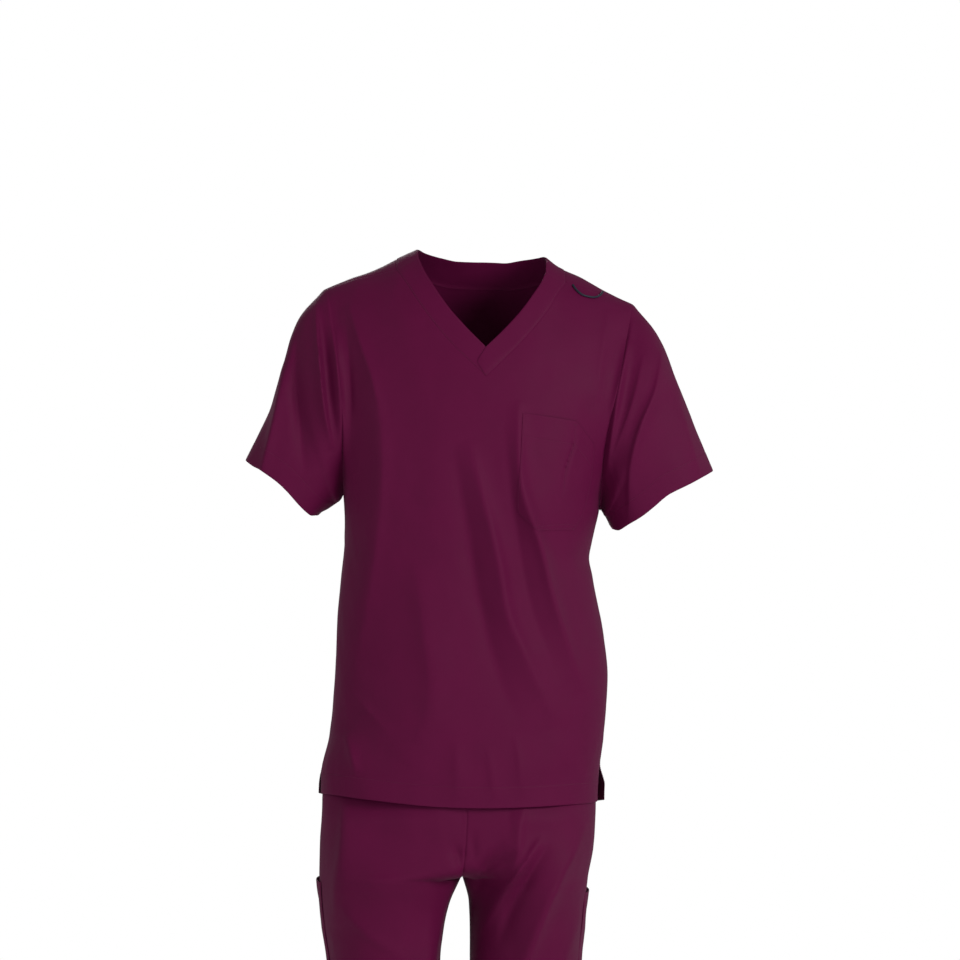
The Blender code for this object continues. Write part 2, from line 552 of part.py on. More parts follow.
# ---- walls ----
class Piece:
    """A cut piece of cloth: a grid of outer points that becomes a thin closed wall."""

    def __init__(self, name, grid, outward, closed=False):
        self.name = name
        self.grid = grid
        self.closed = closed
        self.normals = grid_normals(grid, closed, outward)
        self.inward = self.border_steps()

    def border_steps(self):
        """Unit steps from each border point towards the next point inside."""
        steps = np.zeros(self.grid.shape)
        for axis in (1,) if self.closed else (0, 1):
            for index, inner in ((0, 1), (-1, -2)):
                step = np.take(self.grid, inner, axis) - np.take(self.grid, index, axis)
                step /= np.linalg.norm(step, axis=-1, keepdims=True)
                steps[(slice(None), index) if axis else (index,)] += step
        return steps

    def triangles(self):
        rows, columns = self.grid.shape[:2]
        number = np.arange(rows * columns).reshape(rows, columns)
        if self.closed:
            number = np.vstack([number, number[:1]])
        a, b = number[:-1, :-1], number[1:, :-1]
        c, d = number[1:, 1:], number[:-1, 1:]
        faces = np.stack([np.stack([a, b, c], -1), np.stack([a, c, d], -1)]).reshape(-1, 3)
        flat, normals = self.grid.reshape(-1, 3), self.normals.reshape(-1, 3)
        corners = flat[faces]
        facing = np.cross(corners[:, 1] - corners[:, 0], corners[:, 2] - corners[:, 0])
        if np.sum(facing * normals[faces[:, 0]]) < 0:
            faces = faces[:, ::-1]
        return faces

    def wall(self, thickness=CLOTH, lift=0.0):
        """Points and triangles of the closed wall, its outer skin lifted off the grid."""
        outer = (self.grid + self.normals * lift).reshape(-1, 3)
        inner = outer - self.normals.reshape(-1, 3) * thickness
        faces = self.triangles()
        count = len(outer)
        edges = {}
        for face in faces:
            for start, end in zip(face, np.roll(face, -1)):
                edges[(int(start), int(end))] = True
        rim = []
        for start, end in edges:
            if (end, start) not in edges:
                rim.append((end, start, start + count))
                rim.append((end, start + count, end + count))
        return np.vstack([outer, inner]), np.vstack([faces, faces[:, ::-1] + count, np.array(rim)])


def match_seams(pieces):
    """Draw sewn borders back by half a gap. On a ridge, points that pieces share get one normal,
    so that the walls meet in a mitre; in a notch each wall keeps its own."""
    shared = {}
    for piece in pieces:
        flat = [array.reshape(-1, 3) for array in (piece.grid, piece.normals, piece.inward)]
        for index, point in enumerate(flat[0]):
            if flat[2][index].any():
                shared.setdefault(tuple(np.round(point, 6)), []).append((*flat, index))
    for group in shared.values():
        if len(group) == 1:
            continue
        normals = [array[index].copy() for _, array, _, index in group]
        steps = [array[index] / np.linalg.norm(array[index]) for _, _, array, index in group]
        notch = max(normal @ step for i, normal in enumerate(normals)
                    for j, step in enumerate(steps) if i != j)
        total = sum(normals)
        for points, array, _, index in group:
            if notch < NOTCH:
                array[index] = total / np.linalg.norm(total)
        for (points, _, _, index), step in zip(group, steps):
            points[index] += step * SEAM_GAP / 2


class Skin:
    """Outer skin of some pieces, on which another piece is laid."""

    def __init__(self, pieces):
        points, normals, faces, count = [], [], [], 0
        for piece in pieces:
            points.append(piece.grid.reshape(-1, 3))
            normals.append(piece.normals.reshape(-1, 3))
            faces.append(piece.triangles() + count)
            count += len(points[-1])
        self.points, self.normals = np.vstack(points), np.vstack(normals)
        self.faces = np.vstack(faces)
        self.tree = BVHTree.FromPolygons([Vector(p) for p in self.points], self.faces.tolist())

    def lay(self, start, direction):
        """Where a line first meets the skin, and the skin's smooth normal there."""
        spot, _, index, _ = self.tree.ray_cast(Vector(start), Vector(direction))
        corners = self.faces[index]
        weights = barycentric(np.array(spot), self.points[corners])
        normal = weights @ self.normals[corners]
        return np.array(spot), normal / np.linalg.norm(normal)


def barycentric(point, triangle):
    across, up, offset = triangle[1] - triangle[0], triangle[2] - triangle[0], point - triangle[0]
    aa, au, uu = across @ across, across @ up, up @ up
    oa, ou = offset @ across, offset @ up
    scale = aa * uu - au * au
    second = (uu * oa - au * ou) / scale
    third = (aa * ou - au * oa) / scale
    return np.array([1 - second - third, second, third])


# ---- objects ----
def clear_scene():
    for thing in list(bpy.data.objects):
        bpy.data.objects.remove(thing, do_unlink=True)


def make_material(name, colour, roughness):
    material = bpy.data.materials.new(name)
    material.use_nodes = True
    shader = material.node_tree.nodes["Principled BSDF"]
    shader.inputs["Base Color"].default_value = (*colour, 1)
    shader.inputs["Roughness"].default_value = roughness
    shader.inputs["Metallic"].default_value = 0
    return material


def add_wall(piece, material, thickness=CLOTH, lift=0.0):
    points, faces = piece.wall(thickness, lift)
    mesh = bpy.data.meshes.new(piece.name)
    mesh.from_pydata([tuple(p) for p in points], [], [tuple(int(i) for i in f) for f in faces])
    mesh.shade_smooth()
    mesh.set_sharp_from_angle(angle=math.radians(50))
    mesh.materials.append(material)
    thing = bpy.data.objects.new(piece.name, mesh)
    bpy.context.collection.objects.link(thing)
    return thing


def top_pieces():
    """Front, back, sleeves and neckband, which share the points of their seams."""
    forward, behind = np.array([0, FRONT, 0]), np.array([0, BACK, 0])
    front, back = panel_grid(FRONT), panel_grid(BACK)
    sleeves = {half: sleeve_grid(half, front, back) for half in (RIGHT, LEFT)}
    hold = border_hold(front.shape[:2], (False, True), (True, True))
    front = press_folds(front, False, forward, FOLDS, FRONT, hold)
    hold = border_hold(back.shape[:2], (False, True), (True, True))
    back = press_folds(back, False, behind, FOLDS, BACK, hold)
    back = flare_vents(back)
    pieces = [Piece("top_front", front, forward), Piece("top_back", back, behind)]
    for half, name in ((RIGHT, "sleeve_right"), (LEFT, "sleeve_left")):
        grid = sleeves[half]
        outward = grid - grid.mean(axis=0)
        hold = border_hold(grid.shape[:2], (False, False), (True, False))
        side = np.where(grid[..., 1] < 0, FRONT, BACK)
        for face in (FRONT, BACK):
            grid = press_folds(grid, True, outward, SLEEVE_FOLDS[half], face, hold * (side == face))
        pieces.append(Piece(name, grid, outward, closed=True))
    pieces.append(Piece("neckband_right", band_grid(FRONT, RIGHT), forward))
    pieces.append(Piece("neckband_left", band_grid(FRONT, LEFT), forward))
    pieces.append(Piece("neckband_back", band_grid(BACK), np.array([0, 0.3, 1])))
    return pieces


def flare_vents(back):
    """Below the vents the back panel's corners stand out a little past the front's."""
    flared = back.copy()
    open_share = smooth_step((VENT_Z - back[..., 2]) / VENT_FADE)
    for column, half in ((0, RIGHT), (-1, LEFT)):
        away = np.linalg.norm(back - back[:, column][:, None], axis=-1)
        flare = VENT_FLARE[half] * open_share * np.exp(-(away / VENT_REACH) ** 2)
        flared[..., 0] += half * flare
        flared[..., 1] += VENT_LEAN * flare
    return flared


def trouser_pieces():
    """Four leg panels and the waistband."""
    pieces = []
    tops = {}
    for half, half_name in ((RIGHT, "right"), (LEFT, "left")):
        for side, side_name in ((FRONT, "front"), (BACK, "back")):
            grid = leg_grid(half, side)
            outward = np.array([0.3 * half, side, 0])
            tops[(half, side)] = grid[-1].copy()
            hold = border_hold(grid.shape[:2], (False, True), (True, True))
            grid = press_folds(grid, False, outward, LEG_FOLDS, side, hold)
            pieces.append(Piece(f"trouser_{side_name}_{half_name}", grid, outward))
    ring = np.concatenate([tops[(RIGHT, FRONT)][:-1], tops[(LEFT, FRONT)][::-1][:-1],
                           tops[(LEFT, BACK)][:-1], tops[(RIGHT, BACK)][::-1][:-1]])
    band = np.stack([ring + np.array([0, 0, WAISTBAND * share]) for share in (0, 0.5, 1)], axis=1)
    pieces.append(Piece("waistband", band, band - band.mean(axis=0), closed=True))
    return pieces


def laid_piece(name, starts, direction, skin):
    """A piece whose points are those of the skin below it."""
    shape = starts.shape[:2]
    grid, normals = np.zeros(starts.shape), np.zeros(starts.shape)
    for row in range(shape[0]):
        for column in range(shape[1]):
            grid[row, column], normals[row, column] = skin.lay(starts[row, column], direction)
    piece = Piece(name, grid, -np.array(direction, dtype=float))
    piece.normals = normals
    return piece


def chest_pocket(skin):
    up = np.linspace(0, 1, POCKET_ROWS + 1)[:, None]
    across = np.linspace(0, 1, POCKET_COLUMNS + 1)[None, :]
    x = blend(POCKET.at("inner", up), POCKET.at("outer", up), across)
    top = np.interp(across, *np.transpose(POCKET_MOUTH))
    starts = np.stack([x, np.full(x.shape, -1.0), blend(POCKET_BOTTOM, top, up)], axis=-1)
    return laid_piece("chest_pocket", starts, (0, 1, 0), skin)


def cargo_pocket(name, half, front, back):
    """A plain patch pocket on one thigh, made from the leg's own points."""
    forward, behind = CARGO_COLUMNS[FRONT], CARGO_COLUMNS[BACK]
    points = np.concatenate([front.grid[:, forward:0:-1], back.grid[:, :behind + 1]], axis=1)
    normals = np.concatenate([front.normals[:, forward:0:-1], back.normals[:, :behind + 1]], axis=1)
    heights = points[:, forward, 2]
    top, bottom = CARGO_TOP[half], CARGO_TOP[half] - CARGO_HEIGHT
    inside = [z for z in heights if bottom < z < top]
    grid, slopes = [], []
    for z in [bottom, *inside, top]:
        row = min(int(np.searchsorted(heights, z, side="right")) - 1, len(heights) - 2)
        share = (z - heights[row]) / (heights[row + 1] - heights[row])
        grid.append(blend(points[row], points[row + 1], share))
        slopes.append(blend(normals[row], normals[row + 1], share))
    piece = Piece(name, np.array(grid), np.array(slopes))
    piece.normals = np.array(slopes) / np.linalg.norm(slopes, axis=-1, keepdims=True)
    return piece


def badge_loop(skin, material):
    """The loop's cord, laid just clear of the shoulder along a smooth curve."""
    route = np.array(BADGE_ROUTE)
    knots = np.arange(len(route), dtype=float)
    clearance = LOOP_RADIUS + SEAM_GAP
    curve = bpy.data.curves.new("badge_loop", "CURVE")
    curve.dimensions = "3D"
    curve.bevel_depth = LOOP_RADIUS
    curve.bevel_resolution = 2
    curve.use_fill_caps = True
    spline = curve.splines.new("POLY")
    spline.points.add(BADGE_POINTS - 1)
    for index, at in enumerate(np.linspace(0, knots[-1], BADGE_POINTS)):
        x, z = through(knots, route, at)
        spot, normal = skin.lay((x, -1.0, z), (0, 1, 0))
        spline.points[index].co = (*(spot + normal * clearance), 1)
    curve.materials.append(material)
    thing = bpy.data.objects.new("badge_loop", curve)
    bpy.context.collection.objects.link(thing)
    return thing


def build():
    clear_scene()
    cloth = make_material("scrub_cloth", (0.105, 0.008, 0.045), 0.75)
    cord = make_material("loop_cord", (0.010, 0.010, 0.022), 0.60)
    top, trousers = top_pieces(), trouser_pieces()
    match_seams(top)
    match_seams(trousers)
    panels = {piece.name: piece for piece in top + trousers}
    shirt_skin = Skin([panels["top_front"], panels["top_back"]])
    for piece in top + trousers:
        add_wall(piece, cloth)
    laid = [chest_pocket(shirt_skin)]
    for half, name in ((RIGHT, "right"), (LEFT, "left")):
        laid.append(cargo_pocket("cargo_pocket_" + name, half, panels["trouser_front_" + name],
                                 panels["trouser_back_" + name]))
    for piece in laid:
        add_wall(piece, cloth, lift=LAYER_GAP + CLOTH)
    badge_loop(shirt_skin, cord)


build()
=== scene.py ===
import math

import bpy
import numpy as np
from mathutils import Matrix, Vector
from mathutils.bvhtree import BVHTree


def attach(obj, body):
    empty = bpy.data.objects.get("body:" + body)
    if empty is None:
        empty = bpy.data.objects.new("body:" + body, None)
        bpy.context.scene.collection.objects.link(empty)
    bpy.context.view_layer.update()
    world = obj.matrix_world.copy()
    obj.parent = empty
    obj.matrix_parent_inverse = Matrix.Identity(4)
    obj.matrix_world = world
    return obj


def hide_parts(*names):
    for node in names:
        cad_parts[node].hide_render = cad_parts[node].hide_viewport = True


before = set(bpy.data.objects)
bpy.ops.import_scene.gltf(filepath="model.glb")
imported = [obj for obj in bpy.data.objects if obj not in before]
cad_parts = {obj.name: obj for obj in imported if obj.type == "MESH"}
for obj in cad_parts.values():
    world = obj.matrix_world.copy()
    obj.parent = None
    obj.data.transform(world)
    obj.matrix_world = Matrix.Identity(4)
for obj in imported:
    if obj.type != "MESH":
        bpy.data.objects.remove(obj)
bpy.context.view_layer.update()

right, left = -1, 1          # the wearer's sides
front, back = -1, 1          # the front faces -Y

for thing in bpy.context.selected_objects:
    thing.select_set(False)


# camera first, because the badge loop's cord is measured against its view
cameraView = {"distance": 4.0, "height": -0.2875, "lens": 120, "sensor": 36}


def makeCamera(view):
    data = bpy.data.cameras.new("photoCamera")
    data.lens = view["lens"]
    data.sensor_width = view["sensor"]
    camera = bpy.data.objects.new("photoCamera", data)
    bpy.context.collection.objects.link(camera)
    camera.location = (0, -view["distance"], view["height"])
    camera.rotation_euler = (math.radians(90), 0, 0)
    bpy.context.scene.camera = camera


makeCamera(cameraView)


# distances from an edge at which every piece of cloth has points
seamSteps = (0, 0.0007, 0.002, 0.0036)
hemSteps = (0, 0.0003, 0.0008, 0.0016, 0.004, 0.008, 0.012, 0.016, 0.020, 0.0228, 0.024, 0.0247, 0.0254,
            0.0266, 0.029)


# smooth tables and small sums
def smoothTable(header, *rows):
    return dict(zip(header.split(), np.array(rows, dtype=float).T))


def curvePoint(t, step, low, high, lowSlope, highSlope):
    return ((1 + 2 * t) * (1 - t) ** 2 * low + t * (1 - t) ** 2 * step * lowSlope
            + t * t * (3 - 2 * t) * high + t * t * (t - 1) * step * highSlope)


def readTable(table, name, key):
    # a curve through the rows that never overshoots them
    keys, values = next(iter(table.values())), table[name]
    steps = np.diff(keys)
    slopes = np.diff(values) / steps
    tangents = np.concatenate(([slopes[0]], np.zeros(len(keys) - 2), [slopes[-1]]))
    sameWay = slopes[:-1] * slopes[1:] > 0
    mean = 2 * slopes[:-1] * slopes[1:] / np.where(sameWay, slopes[:-1] + slopes[1:], 1)
    tangents[1:-1] = np.where(sameWay, mean, 0)
    key = np.clip(key, keys[0], keys[-1])
    cell = np.clip(np.searchsorted(keys, key, side="right") - 1, 0, len(keys) - 2)
    return curvePoint((key - keys[cell]) / steps[cell], steps[cell], values[cell], values[cell + 1],
                      tangents[cell], tangents[cell + 1])


def signedPower(value, power):
    return np.sign(value) * np.abs(value) ** power


def blend(start, end, share):
    return start + (end - start) * share


def smoothStep(share):
    share = np.clip(share, 0, 1)
    return share * share * (3 - 2 * share)


def unit(vectors):
    return vectors / np.maximum(np.linalg.norm(vectors, axis=-1, keepdims=True), 1e-12)


def through(knots, values, at):
    # smooth curve through whole rings of points, at one place along them
    tangents = np.gradient(values, knots, axis=0)
    cell = min(int(np.searchsorted(knots, at, side="right")) - 1, len(knots) - 2)
    step = knots[cell + 1] - knots[cell]
    return curvePoint((at - knots[cell]) / step, step, values[cell], values[cell + 1],
                      tangents[cell], tangents[cell + 1])


def runAlong(points, axis=0):
    # distances along a line of points, or along all lines of a grid
    steps = np.linalg.norm(np.diff(points, axis=axis), axis=-1)
    start = np.zeros_like(np.take(steps, [0], axis=axis))
    return np.concatenate([start, np.cumsum(steps, axis=axis)], axis=axis)


def pointsAt(places, run, points):
    return np.stack([np.interp(places, run, points[:, axis]) for axis in range(3)], axis=-1)


# the cut of the top, the same sizes as the frame's
topCut = {
    "armpit": {right: -0.305, left: -0.322},
    "roundness": 2.3, "backRound": 0.86, "sleeveRound": 0.92,
    "shoulderUnits": 5, "neckUnits": {front: 18, back: 12}, "stations": {front: 5, back: 10},
    "vent": -0.640, "ventFade": 0.030, "ventReach": 0.030, "ventLean": 0.5,
    "ventFlare": {right: 0.003, left: 0.009},
    "lapX": -0.0038,
}
bodyTable = smoothTable(
    "height right left front back",
    (-0.710, 0.1985, 0.1455, 0.131, 0.124),
    (-0.680, 0.1985, 0.1460, 0.130, 0.121),
    (-0.655, 0.1980, 0.1480, 0.128, 0.118),
    (-0.606, 0.1880, 0.1550, 0.125, 0.111),
    (-0.557, 0.1825, 0.1585, 0.122, 0.104),
    (-0.530, 0.1810, 0.1590, 0.121, 0.101),
    (-0.475, 0.1785, 0.1530, 0.120, 0.100),
    (-0.408, 0.1735, 0.1405, 0.121, 0.103),
    (-0.385, 0.1710, 0.1360, 0.122, 0.106),
    (-0.366, 0.1695, 0.1390, 0.123, 0.108),
    (-0.322, 0.1695, 0.1490, 0.125, 0.114),
    (-0.305, 0.1700, 0.1500, 0.126, 0.116),
)
yokeTable = smoothTable(
    "over right left seamRight seamLeft",
    (0, 0.170, 0.149, -0.1700, 0.1490),
    (10, 0.175, 0.158, -0.1692, 0.1515),
    (20, 0.183, 0.172, -0.1690, 0.1570),
    (31, 0.192, 0.189, -0.1705, 0.1670),
    (41, 0.200, 0.199, -0.1745, 0.1745),
    (51, 0.207, 0.206, -0.1800, 0.1800),
    (65, 0.217, 0.216, -0.1860, 0.1860),
    (78, 0.225, 0.225, -0.1905, 0.1895),
    (90, 0.230, 0.230, -0.1960, 0.1920),
)
ridgeTable = smoothTable(
    "x height",
    (-0.230, -0.074), (-0.196, -0.050), (-0.166, -0.0375), (-0.125, -0.0225), (-0.100, -0.010),
    (-0.085, -0.003), (-0.071, 0.003), (-0.040, 0.011), (0.000, 0.014), (0.040, 0.008),
    (0.070, -0.003), (0.083, -0.011), (0.100, -0.023), (0.128, -0.036), (0.154, -0.050),
    (0.179, -0.0625), (0.192, -0.069), (0.230, -0.098),
)
shoulderTable = smoothTable("x over", (-0.196, 86), (-0.104, 74), (0.000, 70), (0.100, 70), (0.192, 84))
neckTable = {
    right: smoothTable(
        "station edgeX edgeZ seamX seamZ",
        (0, 0.0073, -0.1255, 0.0073, -0.1615),
        (1, -0.0175, -0.1000, -0.0330, -0.1235),
        (2, -0.0390, -0.0750, -0.0575, -0.0945),
        (3, -0.0550, -0.0515, -0.0765, -0.0680),
        (4, -0.0690, -0.0285, -0.0930, -0.0425),
        (5, -0.0765, -0.0110, -0.1045, -0.0265),
    ),
    left: smoothTable(
        "station edgeX edgeZ seamX seamZ",
        (0, 0.0073, -0.1255, 0.0073, -0.1615),
        (1, 0.0302, -0.1030, 0.0457, -0.1240),
        (2, 0.0508, -0.0800, 0.0683, -0.0985),
        (3, 0.0657, -0.0592, 0.0853, -0.0760),
        (4, 0.0760, -0.0433, 0.0960, -0.0575),
        (5, 0.0815, -0.0303, 0.1065, -0.0430),
    ),
}
neckBackTable = smoothTable(
    "station edgeX edgeOver seamX seamOver",
    (0, -0.0765, 74, -0.1045, 74),
    (1, -0.078, 88, -0.104, 90),
    (2, -0.073, 98, -0.098, 106),
    (3, -0.055, 107, -0.072, 118),
    (4, -0.028, 112, -0.035, 124),
    (5, 0.000, 113, 0.000, 125),
    (6, 0.028, 112, 0.035, 124),
    (7, 0.055, 107, 0.072, 118),
    (8, 0.075, 98, 0.097, 106),
    (9, 0.082, 84, 0.1058, 86),
    (10, 0.0815, 72, 0.1065, 70),
)
hemTable = smoothTable(
    "across front back",
    (0.00, -0.6790, -0.6790), (0.15, -0.6765, -0.6910), (0.30, -0.6790, -0.6980),
    (0.50, -0.6845, -0.7000), (0.75, -0.6825, -0.6980), (1.00, -0.6880, -0.6880),
)
sleeveTable = {
    right: smoothTable(
        "along outerX outerZ innerX innerZ front back",
        (0.25, -0.2270, -0.088, -0.1740, -0.312, 0.071, 0.066),
        (0.50, -0.2475, -0.148, -0.1815, -0.319, 0.070, 0.066),
        (0.75, -0.2640, -0.205, -0.1900, -0.327, 0.066, 0.064),
        (1.00, -0.2925, -0.265, -0.2000, -0.335, 0.062, 0.061),
    ),
    left: smoothTable(
        "along outerX outerZ innerX innerZ front back",
        (0.25, 0.2230, -0.108, 0.1535, -0.329, 0.072, 0.066),
        (0.50, 0.2460, -0.164, 0.1570, -0.334, 0.071, 0.066),
        (0.75, 0.2690, -0.222, 0.1600, -0.339, 0.067, 0.065),
        (1.00, 0.2910, -0.276, 0.1625, -0.343, 0.063, 0.062),
    ),
}
cuffTable = {
    right: smoothTable("across drop", (0, -0.006), (0.06, 0.001), (0.12, 0.004), (0.20, 0.003), (0.30, 0),
                       (0.42, -0.0045), (0.55, -0.007), (0.75, -0.006), (0.88, -0.003), (1, -0.002)),
    left: smoothTable("across drop", (0, 0.001), (0.04, 0.009), (0.09, 0.012), (0.17, 0.0105), (0.29, 0.009),
                      (0.42, 0.0045), (0.55, -0.001), (0.78, 0), (1, 0)),
}
sideName = {front: "front", back: "back"}


def armpitHeight(across):
    return blend(topCut["armpit"][right], topCut["armpit"][left], across)


def torsoSides(height, rise):
    over = np.degrees(np.minimum(rise, np.pi - rise))
    toRight = np.where(rise < 0, readTable(bodyTable, "right", height), readTable(yokeTable, "right", over))
    toLeft = np.where(rise < 0, readTable(bodyTable, "left", height), readTable(yokeTable, "left", over))
    return (toLeft - toRight) / 2, (toLeft + toRight) / 2


def torsoPoint(side, angle, rise):
    # angle 0 at the wearer's right to pi at the left; rise is metres below the armpit or radians above it
    across = -signedPower(np.cos(angle), 2 / topCut["roundness"])
    bulge = np.abs(np.sin(angle)) ** (2 / topCut["roundness"])
    armpit = armpitHeight((1 + across) / 2)
    height = armpit + np.minimum(rise, 0)
    middle, half = torsoSides(height, rise)
    x = middle + half * across
    turn = np.maximum(rise, 0)
    z = height + (readTable(ridgeTable, "height", x) - armpit) * np.sin(turn)
    near = readTable(bodyTable, sideName[side], height)
    far = readTable(bodyTable, sideName[-side], height)
    behind = (side == back) == (np.cos(turn) >= 0)
    lean = signedPower(np.cos(turn), np.where(behind, topCut["backRound"], 1.0))
    y = side * np.where(np.cos(turn) >= 0, near, far) * lean * bulge
    return np.stack([x, y, z], axis=-1)


def torsoAngle(x, rise):
    middle, half = torsoSides(0.0, rise)
    across = np.clip((x - middle) / half, -1, 1)
    return np.arccos(-signedPower(across, topCut["roundness"] / 2))


def riseAt(x, z):
    toRight, toLeft = readTable(yokeTable, "right", 0), readTable(yokeTable, "left", 0)
    armpit = armpitHeight(np.clip((x + toRight) / (toRight + toLeft), 0, 1))
    return np.arcsin(np.clip((z - armpit) / (readTable(ridgeTable, "height", x) - armpit), -1, 1))


def wrapAngle(rise, across):
    turn = np.maximum(rise, 0)
    over = np.degrees(np.minimum(turn, np.pi - turn))
    start = np.where(rise <= 0, 0, torsoAngle(readTable(yokeTable, "seamRight", over), turn))
    end = np.where(rise <= 0, np.pi, torsoAngle(readTable(yokeTable, "seamLeft", over), turn))
    return blend(start, end, across)


def neckLine(side, line, units):
    # x and angle over the shoulder along the neckline, at places counted from the right shoulder seam
    if side == front:
        middle = topCut["neckUnits"][front] // 2
        station = topCut["stations"][front] * np.abs(units - middle) / middle
        x, z = (np.where(units <= middle, readTable(neckTable[right], line + name, station),
                         readTable(neckTable[left], line + name, station)) for name in ("X", "Z"))
        return x, riseAt(x, z)
    station = topCut["stations"][back] * units / topCut["neckUnits"][back]
    x = readTable(neckBackTable, line + "X", station)
    rise = np.radians(180 - readTable(neckBackTable, line + "Over", station))
    last = topCut["neckUnits"][back]
    ends = neckLine(front, line, np.array([0.0, topCut["neckUnits"][front]]))
    for place, near in ((0, 1 - units), (1, units - last + 1)):
        tableEnd = np.radians(180 - neckBackTable[line + "Over"][-place])
        rise = rise + (np.pi - ends[1][place] - tableEnd) * np.clip(near, 0, 1)
    return x, rise


def panelUnits(side, perUnit, edge):
    # places across a panel, in the cut's own units, close together at the side seams
    total = 2 * topCut["shoulderUnits"] + topCut["neckUnits"][side]
    near = np.array(edge)
    places = np.concatenate([np.linspace(0, total, total * perUnit + 1), near, total - near])
    return np.unique(np.round(places, 9)), total


def panelTop(side, units):
    shoulder, neck = topCut["shoulderUnits"], topCut["neckUnits"][side]
    neckX, neckRise = neckLine(side, "seam", np.clip(units - shoulder, 0, neck))
    ends, cornerRise = neckLine(front, "seam", np.array([0.0, topCut["neckUnits"][front]]))
    share = np.clip(np.minimum(units, 2 * shoulder + neck - units) / shoulder, 0, 1)
    onRight = units < shoulder + neck / 2
    start = np.where(onRight, *(readTable(yokeTable, name, 90) for name in ("seamRight", "seamLeft")))
    end = np.where(onRight, *ends)
    x = blend(start, end, share)
    corner = np.where(onRight, *cornerRise) - np.radians(readTable(shoulderTable, "over", end))
    rise = np.radians(readTable(shoulderTable, "over", x))
    rise = rise + corner * np.clip(1 - shoulder * (1 - share), 0, 1)
    if side == back:
        rise = np.pi - rise
    onNeck = (units >= shoulder) & (units <= shoulder + neck)
    return np.where(onNeck, neckX, x), np.where(onNeck, neckRise, rise)


def panelGrid(side, units, total, low, over):
    # low runs from the hem (0) to the armpits (1), over from the armpits (0) to the shoulders (1)
    across = units / total
    topX, topRise = panelTop(side, units)
    drop = readTable(hemTable, sideName[side], across) - armpitHeight(across)
    rise = np.concatenate([drop * (1 - low[:-1, None]), over[:, None] * topRise])
    angle = wrapAngle(rise, across)
    shift = torsoAngle(topX, topRise) - angle[-1]
    shift = shift - shift[0] * np.clip(1 - units, 0, 1) - shift[-1] * np.clip(1 - total + units, 0, 1)
    angle[len(low) - 1:] += shift * over[:, None] ** 2
    angle[:, 0] = wrapAngle(rise[:, 0], 0.0)
    angle[:, -1] = wrapAngle(rise[:, -1], 1.0)
    return torsoPoint(side, angle, rise)


def flareVents(grid):
    flared = grid.copy()
    opened = smoothStep((topCut["vent"] - grid[..., 2]) / topCut["ventFade"])
    for column, half in ((0, right), (-1, left)):
        away = np.linalg.norm(grid - grid[:, column][:, None], axis=-1)
        flare = topCut["ventFlare"][half] * opened * np.exp(-(away / topCut["ventReach"]) ** 2)
        flared[..., 0] += half * flare
        flared[..., 1] += topCut["ventLean"] * flare
    return flared


def bandGrid(side, units, half, shares):
    # a stretch of the neckband, from its seam (0) to its free edge (1)
    seam, edge = neckLine(side, "seam", units), neckLine(side, "edge", units)
    middle = topCut["neckUnits"][front] // 2
    rows = []
    for share in shares:
        x, rise = blend(seam[0], edge[0], share), blend(seam[1], edge[1], share)
        if half == left:
            near = np.clip(1 - np.abs(units - middle), 0, 1)
            x = x + (topCut["lapX"] - x) * (1 - abs(2 * share - 1)) * near
        rows.append(torsoPoint(side, torsoAngle(x, rise), rise))
    return np.array(rows)


def sleeveGrid(half, frontEdge, backEdge, over, look):
    # rows run round the sleeve from the armpit, columns from the armhole to the cuff
    loop = np.concatenate([frontEdge, backEdge[::-1][1:-1]])
    theta = np.pi * np.concatenate([over, 2 - over[::-1][1:-1]])
    table, power = sleeveTable[half], topCut["sleeveRound"]
    rings = [loop]
    for along in table["along"]:
        outer, inner = (np.array([readTable(table, end + "X", along), 0, readTable(table, end + "Z", along)])
                        for end in ("outer", "inner"))
        ring = (outer + inner) / 2 - (outer - inner) / 2 * signedPower(np.cos(theta), power)[:, None]
        depth = np.where(theta < np.pi, -readTable(table, "front", along), readTable(table, "back", along))
        ring[:, 1] += depth * np.abs(np.sin(theta)) ** power
        ring[:, 2] -= along ** 3 * readTable(cuffTable[half], "drop", (1 - np.cos(theta)) / 2)
        rings.append(ring)
    knots, rings = np.concatenate(([0], table["along"])), np.array(rings)
    places = np.linspace(0, 1, look["sleeveRings"])
    dense = np.stack([through(knots, rings, along) for along in places], axis=1)
    return spaceAlong(dense, seamSteps, look["sleeveRows"], hemSteps)


def spaceAlong(grid, startSteps, count, endSteps):
    # points at fixed distances from both ends of each line, even ones between them
    spaced = []
    for line, run in zip(grid, runAlong(grid, 1)):
        even = np.linspace(startSteps[-1], run[-1] - endSteps[-1], count + 1)[1:-1]
        at = np.concatenate([startSteps, even, (run[-1] - np.array(endSteps))[::-1]])
        spaced.append(pointsAt(at, run, line))
    return np.array(spaced)


